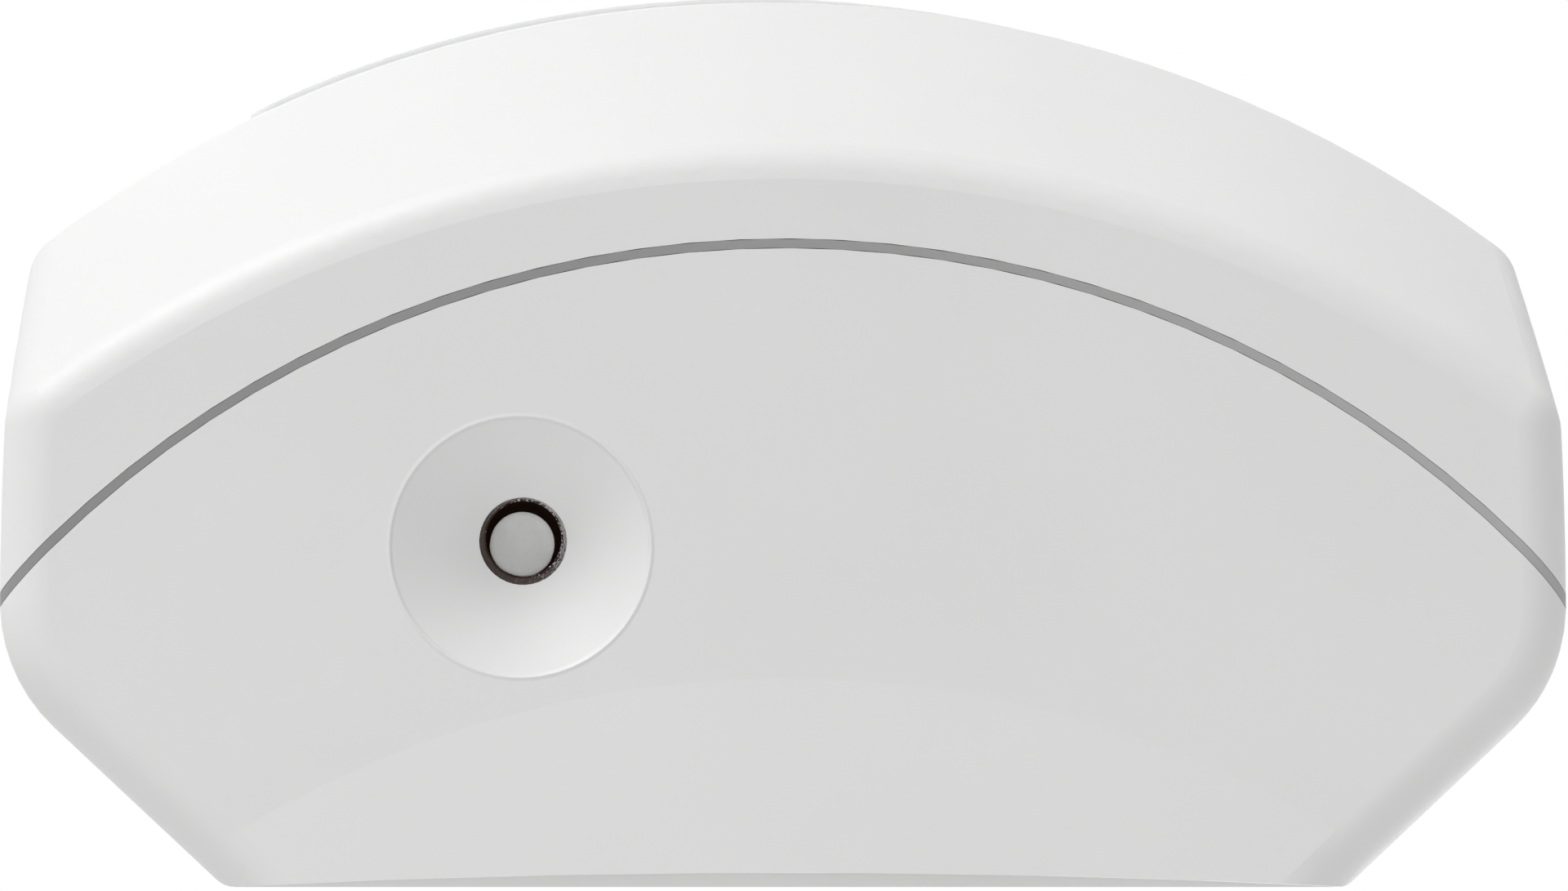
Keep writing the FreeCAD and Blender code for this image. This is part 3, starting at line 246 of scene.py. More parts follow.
def off_axis(tree, first, second):
    """Distance from an axis, from the two coordinates across it."""
    return calculate(tree, "SQRT", calculate(tree, "ADD", calculate(tree, "MULTIPLY", first, first),
                                             calculate(tree, "MULTIPLY", second, second)))


print("tools for node trees are ready")

# %% [markdown]
# A shader has three inputs that a zone changes: colour, metal and gloss. `paint` puts a mix node in
# front of each one, so zones can be laid over each other like coats of paint.

# %% The common finish, and the paint that goes over it


def new_material(name):
    """An empty node material with its shader and output."""
    material = bpy.data.materials.new(name)
    material.use_nodes = True
    nodes = material.node_tree.nodes
    nodes.clear()
    shader = nodes.new("ShaderNodeBsdfPrincipled")
    out = nodes.new("ShaderNodeOutputMaterial")
    material.node_tree.links.new(shader.outputs[0], out.inputs["Surface"])
    return material, shader


def paint(tree, shader, mask, colour=None, metal=None, gloss=None):
    """Lays a colour, a metal share and a roughness over what a shader has, where the mask is 1."""
    for name, value in (("Base Color", colour), ("Metallic", metal), ("Roughness", gloss)):
        if value is None:
            continue
        socket = shader.inputs[name]
        mix = tree.nodes.new("ShaderNodeMix")
        mix.data_type = "RGBA" if name == "Base Color" else "FLOAT"
        first, second = [s for s in mix.inputs if s.name in "AB" and s.enabled]
        if socket.is_linked:
            tree.links.new(socket.links[0].from_socket, first)
        else:
            first.default_value = socket.default_value
        second.default_value = (*value, 1) if name == "Base Color" else value
        factor = [s for s in mix.inputs if s.name == "Factor" and s.enabled][0]
        tree.links.new(mask, factor)
        result = [s for s in mix.outputs if s.enabled][0]
        tree.links.new(result, socket)


def add_bump(tree, shader, height, depth):
    """Raises the surface by a pattern, over the bumps that it has already."""
    bump = tree.nodes.new("ShaderNodeBump")
    bump.inputs["Distance"].default_value = depth * MM
    bump.inputs["Strength"].default_value = 1.0
    tree.links.new(height, bump.inputs["Height"])
    socket = shader.inputs["Normal"]
    if socket.is_linked:
        tree.links.new(socket.links[0].from_socket, bump.inputs["Normal"])
    tree.links.new(bump.outputs["Normal"], socket)


def finish(name, colours, gloss, mottle=9.0, grain=0.3, depth=0.004, metal=0.0, centre=(0, 0, 0)):
    """A material from two colours, two roughnesses and a grain. Returns all that a zone needs."""
    material, shader = new_material(name)
    tree = material.node_tree
    place = place_in_mm(tree, centre)
    shader.inputs["Base Color"].default_value = (*colours[0], 1)
    shader.inputs["Metallic"].default_value = metal
    paint(tree, shader, stretch(tree, noise(tree, place, mottle), 0.35, 0.65), colour=colours[1])
    fine = noise(tree, place, grain * 3)
    tree.links.new(stretch(tree, fine, 0.3, 0.7, *gloss), shader.inputs["Roughness"])
    add_bump(tree, shader, noise(tree, place, grain, 2.0), depth)
    return material, tree, shader, place


def wear(material, *nodes):
    """Gives a material to carried-over pieces."""
    for node in nodes:
        NODES[node].data.materials.clear()
        NODES[node].data.materials.append(material)
    print(material.name, "on", ", ".join(nodes))


# %% [markdown]
# ## Floor
# The floor is a pale plain sheet below the camera and the lamps. It closes the space in the side views,
# holds the object's shadow and throws some light back up. To the camera it is a third white by itself,
# so that it stays pale, while the light that it throws back is only that of its own grey.

# %% Lay the floor
FLOOR_Z = -0.46
OWN_WHITE = 0.35

bpy.ops.object.select_all(action="DESELECT")
bpy.ops.mesh.primitive_plane_add(size=12, location=(0, 0, FLOOR_Z))
floor = bpy.context.active_object
floor.name = "floor"
material, tree, shader, place = finish("pale_floor", ((0.75, 0.75, 0.75), (0.76, 0.76, 0.76)), (0.85, 0.95),
                                       180.0, 4.0, 0.05)
white = tree.nodes.new("ShaderNodeEmission")
mix = tree.nodes.new("ShaderNodeMixShader")
part_seen = calculate(tree, "MULTIPLY", seen_directly(tree.nodes, tree.links), OWN_WHITE)
for socket, source in zip(mix.inputs, (part_seen, shader.outputs[0], white.outputs[0])):
    tree.links.new(source, socket)
out = [node for node in tree.nodes if node.type == "OUTPUT_MATERIAL"][0]
tree.links.new(mix.outputs[0], out.inputs["Surface"])
floor.data.materials.append(material)
print("floor lies", -FLOOR_Z, "m below the middle of the detector")

# %% [markdown]
# ## Housing
# Both shells are taken for one white plastic from a tool with a fine spark-eroded texture, which takes
# the shine off without looking rough. Handling leaves a few specks in that texture. They are sparse
# and faint, so a cell pattern places them: only the cells with a low random value get one.
# The faint ring round the mouth of the recess is taken for a bead where two halves of the tool meet.
# It is far too low to model, so it is a bump at that distance from the axis of the mouth.

# %% Finish the housing
MOUTH_CENTRE = (-11.01, -13.82)
MOUTH_RADIUS = 5.33
BEAD_HALF = 0.16
BEAD_HEIGHT = 0.035
END_FACE_BELOW = -52.0
SPECK_PITCH = 5.0
SPECK_RADIUS = 0.09
SPECK_SHARE = 0.35
SPECK_STRENGTH = 0.45


def speck_mask(tree, place, pitch, radius, share):
    """Small round specks: one at the point of each cell whose random value is under the share."""
    cells = tree.nodes.new("ShaderNodeTexVoronoi")
    cells.inputs["Scale"].default_value = 1 / pitch
    tree.links.new(place, cells.inputs["Vector"])
    near = calculate(tree, "LESS_THAN", cells.outputs["Distance"], radius / pitch)
    chosen = tree.nodes.new("ShaderNodeSeparateColor")
    tree.links.new(cells.outputs["Color"], chosen.inputs[0])
    lucky = calculate(tree, "LESS_THAN", chosen.outputs[0], share)
    return calculate(tree, "MULTIPLY", near, lucky)


def moulded(name, colours, specks=True, bead=False):
    """White moulded plastic with a fine texture."""
    material, tree, shader, place = finish(name, colours, (0.42, 0.52), 18.0, 0.12, 0.002)
    if specks:
        dots = speck_mask(tree, place, SPECK_PITCH, SPECK_RADIUS, SPECK_SHARE)
        paint(tree, shader, calculate(tree, "MULTIPLY", dots, SPECK_STRENGTH), colour=(0.35, 0.33, 0.31))
    if bead:
        x, y, z = axes_of(tree, place)
        across = off_axis(tree, calculate(tree, "SUBTRACT", x, MOUTH_CENTRE[0]),
                          calculate(tree, "SUBTRACT", y, MOUTH_CENTRE[1]))
        away = calculate(tree, "ABSOLUTE", calculate(tree, "SUBTRACT", across, MOUTH_RADIUS))
        hump = stretch(tree, away, 0.0, BEAD_HALF, 1.0, 0.0)
        hump.node.interpolation_type = "SMOOTHSTEP"
        at_end = calculate(tree, "LESS_THAN", z, END_FACE_BELOW)
        add_bump(tree, shader, calculate(tree, "MULTIPLY", hump, at_end), BEAD_HEIGHT)
    return material


WHITE = ((0.81, 0.81, 0.805), (0.83, 0.83, 0.825))
wear(moulded("moulded_white", WHITE, bead=True), "rear_housing")
wear(moulded("cover_white", WHITE), "front_cover")
wear(moulded("plain_white", ((0.78, 0.78, 0.76), (0.80, 0.80, 0.785)), specks=False), "lens_frame")

# %% [markdown]
# ## Gasket
# A mid-grey soft strip fills the gap between the two shells. It is taken for moulded rubber: dull,
# with a fine grain. The photograph shows it darker on the left half and paler towards the right end.
# Whether its colour or the light does that isn't known. Here its colour runs from one grey to the
# other along X.

# %% Finish the gasket
SEAL_GREYS = ((0.290, 0.290, 0.290), (0.305, 0.305, 0.303))
PALER_FROM = -10.0
PALEST_AT = 28.0
material, tree, shader, place = finish("grey_seal", SEAL_GREYS, (0.6, 0.7), 12.0, 0.1, 0.003)
x, y, z = axes_of(tree, place)
paint(tree, shader, stretch(tree, x, PALER_FROM, PALEST_AT), colour=(0.445, 0.445, 0.445))
wear(material, "seal_gasket")

# %% [markdown]
# ## Lens
# The window is thin milky polyethylene. Light goes into it and comes out again close by, which
# subsurface scattering does. Its inner face carries a grid of zones, each with fine rings round its
# own centre, and they show through as faint lines. The rings come from the distance to the middle
# of each zone, so one formula draws all 28.

# %% Finish the lens
COLUMNS, ROWS = 7, 4
WINDOW_X = 21.1
WINDOW_Z = 27.1
RING_PITCH = 0.8
RIB_HALF = 0.22
pitch_x = 2 * WINDOW_X / COLUMNS
pitch_z = 2 * WINDOW_Z / ROWS
material, tree, shader, place = finish("milky_lens", ((0.85, 0.86, 0.865), (0.87, 0.88, 0.885)), (0.30, 0.38),
                                       14.0, 0.25, 0.002)
shader.inputs["Subsurface Weight"].default_value = 0.7
shader.inputs["Subsurface Radius"].default_value = (0.0022, 0.0022, 0.0021)
shader.inputs["Subsurface Scale"].default_value = 1.0
x, y, z = axes_of(tree, place)


def fold_to_zone(value, half, pitch):
    """Distance from the middle of the zone that a coordinate falls in."""
    turns = calculate(tree, "MULTIPLY", calculate(tree, "ADD", value, half), 1 / pitch)
    part = calculate(tree, "SUBTRACT", calculate(tree, "FRACT", turns), 0.5)
    return calculate(tree, "MULTIPLY", part, pitch)


zone_x = fold_to_zone(x, WINDOW_X, pitch_x)
zone_z = fold_to_zone(z, WINDOW_Z, pitch_z)
in_window = calculate(tree, "MULTIPLY", between(tree, x, -WINDOW_X, WINDOW_X),
                      between(tree, z, -WINDOW_Z, WINDOW_Z))
rings = calculate(tree, "FRACT", calculate(tree, "MULTIPLY", off_axis(tree, zone_x, zone_z), 1 / RING_PITCH))
edge_x = calculate(tree, "GREATER_THAN", calculate(tree, "ABSOLUTE", zone_x), pitch_x / 2 - RIB_HALF)
edge_z = calculate(tree, "GREATER_THAN", calculate(tree, "ABSOLUTE", zone_z), pitch_z / 2 - RIB_HALF)
rib = calculate(tree, "MULTIPLY", calculate(tree, "MAXIMUM", edge_x, edge_z), in_window)
ring_mask = calculate(tree, "MULTIPLY", rings, in_window)
paint(tree, shader, calculate(tree, "MULTIPLY", ring_mask, 0.6), colour=(0.62, 0.64, 0.65))
paint(tree, shader, calculate(tree, "MULTIPLY", rib, 0.8), colour=(0.86, 0.865, 0.87))
add_bump(tree, shader, ring_mask, 0.012)
wear(material, "fresnel_lens")

# %% [markdown]
# ## Dark bush
# A short brown-black metal tube lines the hole for the light. It tapers to a thin rim with bright
# spots, which are partly wear and partly painted highlight. Such a piece is turned on a lathe, so it
# is modelled like one: a circle is extruded from step to step along its section and scaled at each
# step. Spinning a drawn section would do the same, but here the section is a plain list, and each step of it
# is one ring.

# %% A lathe made of extrude and resize


def turn_rings(name, centre, steps, sides=96, cap=False):
    """Extrudes a circle through (radius, height) steps in mm, all round one upright axis."""
    bpy.ops.object.select_all(action="DESELECT")
    radius, height = steps[0]
    middle = (centre[0] * MM, centre[1] * MM)
    fill = "NGON" if cap else "NOTHING"
    bpy.ops.mesh.primitive_circle_add(vertices=sides, radius=radius * MM, fill_type=fill,
                                      location=(*middle, height * MM))
    piece = bpy.context.active_object
    piece.name = name
    bpy.ops.object.transform_apply(location=True, rotation=True, scale=True)
    bpy.ops.object.mode_set(mode="EDIT")
    bpy.ops.mesh.select_mode(type="EDGE")
    bpy.ops.mesh.select_all(action="SELECT")
    for next_radius, next_height in steps[1:]:
        bpy.ops.mesh.extrude_edges_move()
        bpy.ops.transform.translate(value=(0, 0, (next_height - height) * MM))
        share = next_radius / radius
        bpy.ops.transform.resize(value=(share, share, 1), center_override=(*middle, next_height * MM))
        radius, height = next_radius, next_height
    if cap:
        bpy.ops.mesh.edge_face_add()
    bpy.ops.mesh.select_all(action="SELECT")
    bpy.ops.mesh.remove_doubles(threshold=0.002 * MM)
    bpy.ops.mesh.normals_make_consistent(inside=False)
    bpy.ops.object.mode_set(mode="OBJECT")
    bpy.ops.object.shade_smooth_by_angle(angle=math.radians(32))
    return piece


bush_low, bush_high = box_mm("light_sensor_bezel")
axis = (guide_middle.x, guide_middle.y)
outer = (bush_high.x - bush_low.x) / 2
tip, back = bush_low.z, bush_high.z
step = box_mm("light_guide")[0].z
SLEEVE = 1.36
BORE = 1.525
TAPER = 1.8
BEVEL = 0.05
# How far each step of the rounded rim lies outside the bore, and how far behind the tip
RIM = ((0.0, 0.12), (0.02, 0.03), (0.05, 0.0), (0.08, 0.02), (0.105, 0.10))
BUSH_STEPS = [(SLEEVE, back), (SLEEVE, step), (BORE, step)]
BUSH_STEPS += [(BORE + outward, tip + behind) for outward, behind in RIM]
BUSH_STEPS += [(outer, tip + TAPER), (outer, back - BEVEL), (outer - BEVEL, back), (SLEEVE, back)]
bush = turn_rings("sensor_bush", axis, BUSH_STEPS)
print("bush:", len(bush.data.polygons), "faces, tip at", round(tip, 2), "mm")

# %% [markdown]
# The finish is a dark metal. Grey metal spots are a fine noise with a hard threshold: partly wear and
# partly painted highlight. The threshold falls towards one side, so the speckle is thick there and thin
# opposite, which paints the glints of the light on that side. The photograph has some on the other
# side too, which this finish lacks.
# The inside has no worn spots, and it is painted nearly black: painted shade in the bore.
# In the photograph the recess has no dark halo round the bush. With these lamps the bush would throw
# one, so it is left out of shadows and of scattered light. Real light doesn't do that: it is done for
# the likeness alone. The camera and the gloss of the pieces round it still see the bush.

# %% Finish the bush
BUSH_BROWNS = ((0.027, 0.014, 0.011), (0.050, 0.031, 0.026))
GLINT_SIDE_X = 0.8
GLINT_SIDE_Y = 0.6
SPECKLE_ABOVE = 0.60
GLINT_LEAN = 0.075
SPECKLE_SIZE = 0.11
material, tree, shader, place = finish("dark_bush", BUSH_BROWNS, (0.35, 0.5), 0.7, 0.07, 0.006, metal=0.3,
                                       centre=(*axis, 0))
shader.inputs["Specular IOR Level"].default_value = 0.0
x, y, z = axes_of(tree, place)
from_axis = off_axis(tree, x, y)
# Painted highlight: the speckle thickens towards +X and -Y, where the glints of the light fall.
toward_glint_side = calculate(tree, "SUBTRACT", calculate(tree, "MULTIPLY", x, GLINT_SIDE_X),
                 calculate(tree, "MULTIPLY", y, GLINT_SIDE_Y))
lowered = calculate(tree, "SUBTRACT", SPECKLE_ABOVE, calculate(tree, "MULTIPLY", toward_glint_side, GLINT_LEAN))
speckle = calculate(tree, "GREATER_THAN", noise(tree, place, SPECKLE_SIZE, 2.0), lowered)
outside = calculate(tree, "GREATER_THAN", from_axis, BORE + 0.005)
wear_and_glint = calculate(tree, "MULTIPLY", speckle, outside)
paint(tree, shader, wear_and_glint, colour=(0.42, 0.41, 0.42), metal=0.9, gloss=0.3)
# Painted shade: the inner wall of the bore is painted nearly black.
inside = calculate(tree, "LESS_THAN", from_axis, BORE + 0.010)
paint(tree, shader, inside, colour=(0.012, 0.006, 0.004), metal=0.0, gloss=0.55)
bush.data.materials.append(material)
bush.visible_diffuse = False
bush.visible_shadow = False
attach(bush, "housing")
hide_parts("light_sensor_bezel")
print("bush finished")

# %% [markdown]
# ## Light guide
# A milky rod stands in the bush. It is taken for a guide that carries daylight to the sensor on the
# board. Its end is a slightly dished disc with a rounded edge. The photograph shows it lighter than it
# comes out here by the lamps alone, so it has a faint glow of its own, which stands for light that
# runs in the rod and comes out at its end.

# %% Model and finish the light guide
DUST_PITCH = 0.45
DUST_RADIUS = 0.035
DUST_SHARE = 0.45
GLOW = 0.10
guide_low, guide_high = box_mm("light_guide")
rod = (guide_high.x - guide_low.x) / 2
end = guide_low.z
GUIDE_STEPS = [
    (rod, guide_high.z), (rod, end + 0.10), (rod - 0.03, end + 0.03), (rod - 0.10, end),
    (rod - 0.2, end + 0.015), (rod * 0.6, end + 0.06), (rod * 0.3, end + 0.08), (rod * 0.08, end + 0.085),
]
guide = turn_rings("guide_rod", axis, GUIDE_STEPS, sides=64, cap=True)
material, tree, shader, place = finish("pale_guide", ((0.62, 0.62, 0.61), (0.68, 0.68, 0.665)), (0.25, 0.35),
                                       1.2, 0.12, 0.002, centre=(*axis, 0))
specks = speck_mask(tree, place, DUST_PITCH, DUST_RADIUS, DUST_SHARE)
paint(tree, shader, specks, colour=(0.2, 0.18, 0.16))
shader.inputs["Subsurface Weight"].default_value = 0.3
shader.inputs["Subsurface Radius"].default_value = (0.0006, 0.0006, 0.0006)
shader.inputs["Subsurface Scale"].default_value = 1.0
shader.inputs["Emission Color"].default_value = (1.0, 1.0, 0.985, 1)
shader.inputs["Emission Strength"].default_value = GLOW
guide.data.materials.append(material)
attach(guide, "housing")
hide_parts("light_guide")
print("guide:", len(guide.data.polygons), "faces, disc", round(end - tip, 2), "mm behind the rim")

# %% [markdown]
# ## Circuit board
# The board is glass fibre under green lacquer. Copper tracks under the lacquer show as lighter
# raised lines. Each small block of the board gets tracks in one of two directions, or none, from
# random values per block, which looks like a laid-out board without drawing one. The sawn edge is
# bare.

# %% Finish the boards
TRACK_BLOCK = 5.0
TRACK_PITCH = 1.1
TRACK_WIDTH = 0.4
BARE_EDGE = 0.04
PAD_LENGTH = 0.7
PAD_PITCH = 1.27
PAD_SHARE = 0.55


def track_mask(tree, place, block, pitch, width):
    """Lines along one of two directions in each block, from a random value per block."""
    x, y, z = axes_of(tree, place)
    corner = tree.nodes.new("ShaderNodeCombineXYZ")
    for socket, value in zip(corner.inputs, (x, z)):
        tree.links.new(calculate(tree, "FLOOR", calculate(tree, "MULTIPLY", value, 1 / block)), socket)
    random = tree.nodes.new("ShaderNodeTexWhiteNoise")
    random.noise_dimensions = "2D"
    tree.links.new(corner.outputs[0], random.inputs["Vector"])
    lines = []
    for value in (x, z):
        part = calculate(tree, "FRACT", calculate(tree, "MULTIPLY", value, 1 / pitch))
        lines.append(calculate(tree, "LESS_THAN", part, width / pitch))
    pick = calculate(tree, "GREATER_THAN", random.outputs["Value"], 0.5)
    upright = calculate(tree, "MULTIPLY", lines[0], pick)
    level = calculate(tree, "MULTIPLY", lines[1], calculate(tree, "SUBTRACT", 1.0, pick))
    apart = tree.nodes.new("ShaderNodeSeparateColor")
    tree.links.new(random.outputs["Color"], apart.inputs[0])
    used = calculate(tree, "GREATER_THAN", apart.outputs[2], 0.35)
    return calculate(tree, "MULTIPLY", calculate(tree, "ADD", upright, level), used)


def board_finish(name, node, dark, light):
    """Lacquered board with tracks, and bare fibre at its sawn edges."""
    low, high = box_mm(node)
    material, tree, shader, place = finish(name, (dark, dark), (0.28, 0.36), 4.0, 0.15, 0.002)
    tracks = track_mask(tree, place, TRACK_BLOCK, TRACK_PITCH, TRACK_WIDTH)
    paint(tree, shader, tracks, colour=light)
    add_bump(tree, shader, tracks, 0.03)
    x, y, z = axes_of(tree, place)
    for value, first, last in ((x, low.x, high.x), (z, low.z, high.z)):
        inner = between(tree, value, first + BARE_EDGE, last - BARE_EDGE)
        bare = calculate(tree, "SUBTRACT", 1.0, inner)
        paint(tree, shader, bare, colour=(0.55, 0.50, 0.30), gloss=0.7)
    wear(material, node)
    return tree, shader, place


board_finish("green_board", "circuit_board", (0.008, 0.085, 0.03), (0.02, 0.17, 0.06))
tree, shader, place = board_finish("radio_green", "radio_board", (0.006, 0.05, 0.04), (0.015, 0.11, 0.09))
x, y, z = axes_of(tree, place)
radio_low, radio_high = box_mm("radio_board")
inner = between(tree, x, radio_low.x + PAD_LENGTH, radio_high.x - PAD_LENGTH)
at_side = calculate(tree, "SUBTRACT", 1.0, inner)
along_row = calculate(tree, "FRACT", calculate(tree, "MULTIPLY", z, 1 / PAD_PITCH))
pads = calculate(tree, "MULTIPLY", at_side, calculate(tree, "LESS_THAN", along_row, PAD_SHARE))
paint(tree, shader, pads, colour=(0.80, 0.60, 0.25), metal=1.0, gloss=0.3)

# %% [markdown]
# ## Metal cans
# The sensor can, the shield and the crystal are nickel- or tin-plated sheet, and the stamped antenna
# is gold-coloured. Rolled sheet has fine scratches in one direction: noise that is stretched along
# it. The sensor's window is a dark filter, nearly black, with a smooth face.

# %% Finish the cans and the filter


def plated(name, tint, gloss, along=(1.0, 1.0, 0.08)):
    """Plated sheet metal with fine scratches along one direction."""
    dull = tuple(value * 0.88 for value in tint)
    material, tree, shader, place = finish(name, (tint, dull), gloss, 3.0, 0.2, 0.001, metal=1.0)
    scratch = tree.nodes.new("ShaderNodeMapping")
    scratch.inputs["Scale"].default_value = along
    tree.links.new(place, scratch.inputs["Vector"])
    add_bump(tree, shader, noise(tree, scratch.outputs[0], 0.12, 2.0), 0.002)
    return material


wear(plated("nickel_can", (0.66, 0.64, 0.60), (0.18, 0.28), (1.0, 0.1, 1.0)), "pyro_sensor_can")
wear(plated("tinned_shield", (0.68, 0.68, 0.68), (0.26, 0.36)), "radio_shield")
wear(plated("gold_antenna", (0.78, 0.58, 0.28), (0.22, 0.32)), "antenna")
wear(plated("crystal_can", (0.70, 0.69, 0.67), (0.20, 0.30), (0.08, 1.0, 1.0)), "crystal")
FILTER_DARKS = ((0.012, 0.012, 0.016), (0.02, 0.018, 0.03))
wear(finish("dark_filter", FILTER_DARKS, (0.06, 0.10), 1.5, 0.3, 0.001, metal=0.2)[0], "pyro_sensor_window")

# %% [markdown]
# ## Foam ring
# The ring that keeps draughts off the sensor is black closed-cell foam. Cells are a cell pattern,
# used as bump and for a slight change of colour.

# %% Finish the foam ring
FOAM_BLACKS = ((0.022, 0.022, 0.022), (0.035, 0.035, 0.034))
CELL_SIZE = 0.35
material, tree, shader, place = finish("black_foam", FOAM_BLACKS, (0.85, 0.95), 2.0, 0.2, 0.02)
cells = tree.nodes.new("ShaderNodeTexVoronoi")
cells.inputs["Scale"].default_value = 1 / CELL_SIZE
tree.links.new(place, cells.inputs["Vector"])
add_bump(tree, shader, cells.outputs["Distance"], 0.08)
paint(tree, shader, stretch(tree, cells.outputs["Distance"], 0.5, 0.9), colour=(0.06, 0.06, 0.058))
wear(material, "sensor_shroud")

# %% [markdown]
# ## Black packages
# Chips are black moulded epoxy with a fine matt texture, and their leads and end caps are tinned.
# The leads are told from the case by their distance from the middle of the package, so one material
# dresses both. The small chips come in two kinds, black and tan, by their place in the row.

# %% Finish the packages
EPOXY_BLACKS = ((0.018, 0.018, 0.02), (0.028, 0.028, 0.03))
CONTROLLER_HALF = 3.52
DOT_OFFSET = 2.6
DOT_RADIUS = 0.35
ROW_SHIFT = 60.0
COLOUR_REPEAT = 5.6
CHIP_CASE_HALF = 0.66
EYE_FACE = -1.1
EYE_OFFSET = 1.85
EYE_RADIUS = 1.5


def epoxy(name, node, case_half=None):
    """Black moulded package, with tinned leads beyond half a case width from its middle."""
    centre = middle_of(node)
    material, tree, shader, place = finish(name, EPOXY_BLACKS, (0.45, 0.6), 2.0, 0.1, 0.004, centre=centre)
    x, y, z = axes_of(tree, place)
    if case_half is not None:
        leads = calculate(tree, "GREATER_THAN", calculate(tree, "ABSOLUTE", x), case_half)
        paint(tree, shader, leads, colour=(0.72, 0.72, 0.71), metal=1.0, gloss=0.3)
    wear(material, node)
    return tree, shader, x, y, z


tree, shader, x, y, z = epoxy("controller_epoxy", "microcontroller", CONTROLLER_HALF)
dot = off_axis(tree, calculate(tree, "ADD", x, DOT_OFFSET), calculate(tree, "SUBTRACT", z, DOT_OFFSET))
paint(tree, shader, calculate(tree, "LESS_THAN", dot, DOT_RADIUS), colour=(0.10, 0.10, 0.10), gloss=0.25)

tree, shader, x, y, z = epoxy("small_chips", "chip_parts")
along_row = calculate(tree, "MULTIPLY", calculate(tree, "ADD", z, ROW_SHIFT), 1 / COLOUR_REPEAT)
row = calculate(tree, "FRACT", along_row)
paint(tree, shader, calculate(tree, "GREATER_THAN", row, 0.5), colour=(0.42, 0.30, 0.18), gloss=0.5)
caps = calculate(tree, "GREATER_THAN", calculate(tree, "ABSOLUTE", x), CHIP_CASE_HALF)
paint(tree, shader, caps, colour=(0.74, 0.73, 0.71), metal=1.0, gloss=0.35)

tree, shader, x, y, z = epoxy("sensor_package", "photodiode")
facing = calculate(tree, "LESS_THAN", z, EYE_FACE)
near = calculate(tree, "LESS_THAN", off_axis(tree, x, calculate(tree, "ADD", y, EYE_OFFSET)), EYE_RADIUS)
paint(tree, shader, calculate(tree, "MULTIPLY", facing, near), colour=(0.06, 0.02, 0.03), gloss=0.06)

# %% [markdown]
# ## Switches, battery tray and their moving parts
# The two switch bodies and the battery tray are black glass-filled plastic: fibres leave short pale
# streaks. The tamper plunger is red, so that a fitter sees it, and the button cap is ivory.

# %% Finish the switches and the tray


def fibre_filled(name, *nodes):
    """Black plastic with short pale fibre streaks."""
    material, tree, shader, place = finish(name, ((0.022, 0.022, 0.023), (0.032, 0.032, 0.033)), (0.5, 0.65),
                                           5.0, 0.15, 0.005)
    streak = tree.nodes.new("ShaderNodeMapping")
    streak.inputs["Scale"].default_value = (0.12, 1.0, 1.0)
    streak.inputs["Rotation"].default_value = (0.0, 0.5, 0.3)
    tree.links.new(place, streak.inputs["Vector"])
    fibres = calculate(tree, "GREATER_THAN", noise(tree, streak.outputs[0], 0.12, 2.0), 0.62)
    paint(tree, shader, fibres, colour=(0.06, 0.06, 0.06))
    wear(material, *nodes)


fibre_filled("black_switch", "tamper_switch_body", "pairing_button_body")
fibre_filled("black_tray", "battery_cradle")
wear(finish("red_plunger", ((0.52, 0.035, 0.03), (0.60, 0.05, 0.04)), (0.3, 0.4), 1.5, 0.15, 0.003)[0],
     "tamper_plunger")
wear(finish("ivory_cap", ((0.74, 0.71, 0.62), (0.78, 0.75, 0.67)), (0.35, 0.45), 1.5, 0.15, 0.003)[0],
     "pairing_button_cap")

# %% [markdown]
# ## Indicator light and capacitor
# The light is red tinted resin, clear enough to let some light through. The capacitor's can has a
# dark shrunk sleeve with a pale stripe down the side of one lead, and a bare top, which is scored
# with a cross so that it can open safely.

# %% Finish the light and the capacitor
STRIPE_BELOW = -2.5
TOP_BELOW = -3.35
BARE_RADIUS = 2.75
SCORE_HALF = 0.12
SCORE_RADIUS = 2.1
SLEEVE_BLUES = ((0.012, 0.015, 0.035), (0.02, 0.024, 0.05))
material, tree, shader, place = finish("red_resin", ((0.62, 0.06, 0.04), (0.70, 0.09, 0.06)), (0.08, 0.14),
                                       1.5, 0.3, 0.001)
shader.inputs["Transmission Weight"].default_value = 0.35
shader.inputs["IOR"].default_value = 1.52
wear(material, "status_led")

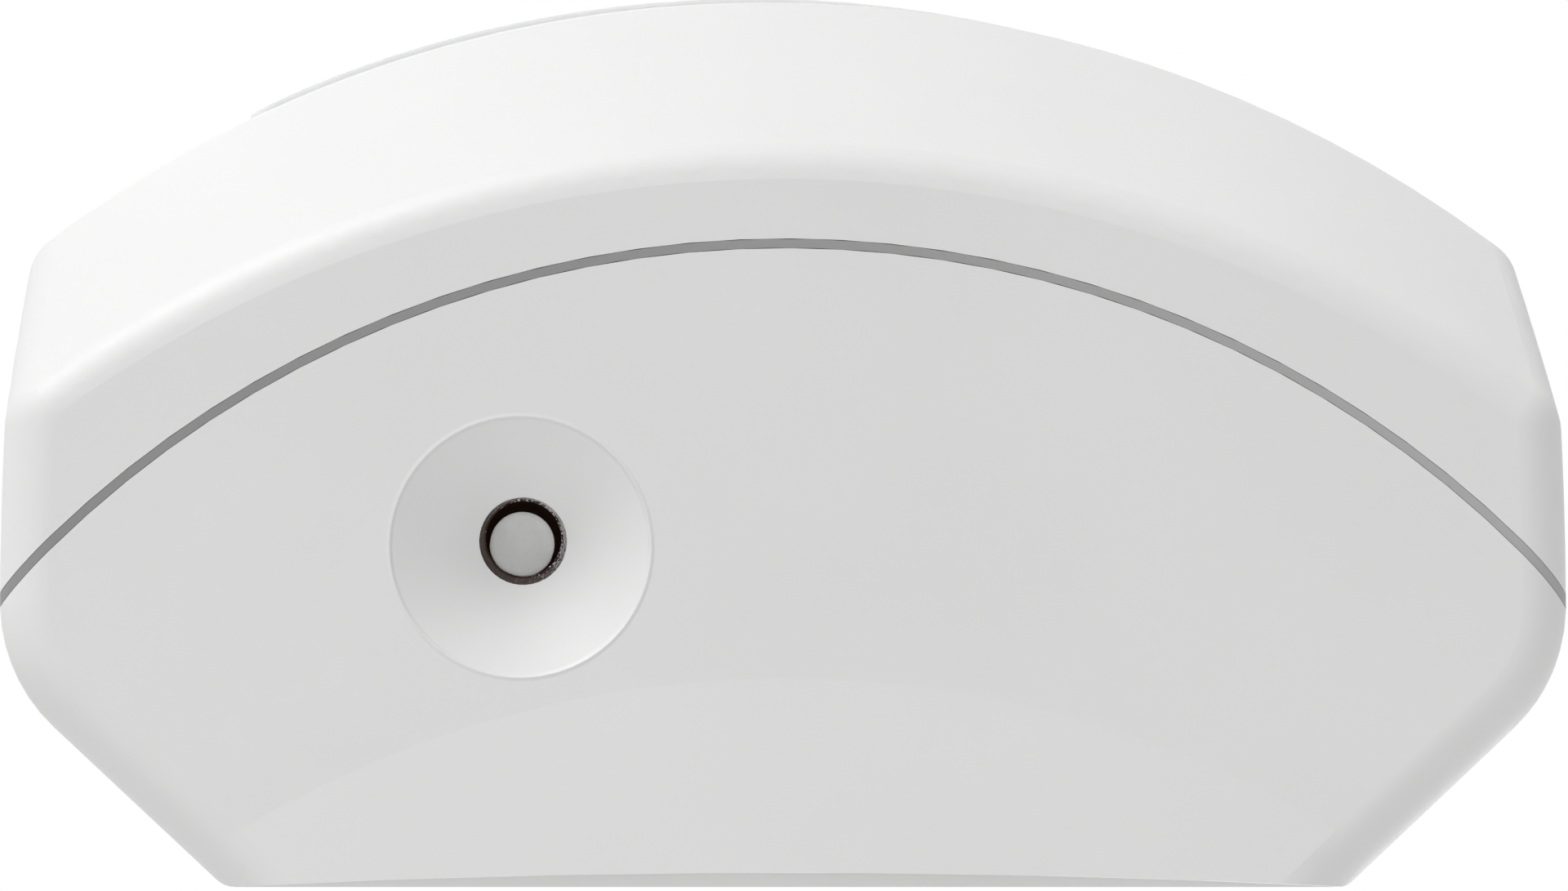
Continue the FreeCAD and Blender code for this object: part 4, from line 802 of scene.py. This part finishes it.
material, tree, shader, place = finish("capacitor_sleeve", SLEEVE_BLUES, (0.3, 0.4), 3.0, 0.2, 0.003,
                                       centre=middle_of("bulk_capacitor"))
x, y, z = axes_of(tree, place)
stripe = calculate(tree, "LESS_THAN", x, STRIPE_BELOW)
paint(tree, shader, stripe, colour=(0.55, 0.57, 0.60))
top = calculate(tree, "LESS_THAN", y, TOP_BELOW)
in_ring = calculate(tree, "LESS_THAN", off_axis(tree, x, z), BARE_RADIUS)
bare = calculate(tree, "MULTIPLY", top, in_ring)
paint(tree, shader, bare, colour=(0.80, 0.80, 0.81), metal=1.0, gloss=0.3)
# The scored cross is painted dark grey: painted shade in its grooves, which the bump below also cuts.
score = calculate(tree, "MAXIMUM", between(tree, x, -SCORE_HALF, SCORE_HALF),
                  between(tree, z, -SCORE_HALF, SCORE_HALF))
cross = calculate(tree, "MULTIPLY", calculate(tree, "MULTIPLY", score, bare),
                  calculate(tree, "LESS_THAN", off_axis(tree, x, z), SCORE_RADIUS))
paint(tree, shader, cross, colour=(0.35, 0.35, 0.36))
add_bump(tree, shader, calculate(tree, "SUBTRACT", 1.0, cross), 0.15)
wear(material, "bulk_capacitor")

# %% [markdown]
# ## Battery and contacts
# The cell has a printed plastic sleeve in two plain colours with a thin amber band between them, and
# bare steel at both ends. The contacts and the screws are plated metal, like the cans.

# %% Finish the battery, the contacts and the screws
BAND = (4.4, 5.0)
SLEEVE_ENDS = (-16.35, 15.05)
material, tree, shader, place = finish("battery_wrap", ((0.03, 0.05, 0.10), (0.04, 0.06, 0.12)), (0.22, 0.32),
                                       6.0, 0.3, 0.004)
x, y, z = axes_of(tree, place)
paint(tree, shader, calculate(tree, "GREATER_THAN", x, BAND[1]), colour=(0.62, 0.60, 0.55))
paint(tree, shader, between(tree, x, *BAND), colour=(0.75, 0.45, 0.10), gloss=0.25)
steel = calculate(tree, "SUBTRACT", 1.0, between(tree, x, *SLEEVE_ENDS))
paint(tree, shader, steel, colour=(0.66, 0.65, 0.63), metal=1.0, gloss=0.28)
wear(material, "battery")
wear(plated("spring_sheet", (0.72, 0.70, 0.66), (0.2, 0.32), (1.0, 0.08, 1.0)),
     "battery_contact_positive", "battery_contact_negative")
wear(plated("zinc_screw", (0.68, 0.66, 0.55), (0.25, 0.4), (1.0, 1.0, 1.0)), "board_screws")
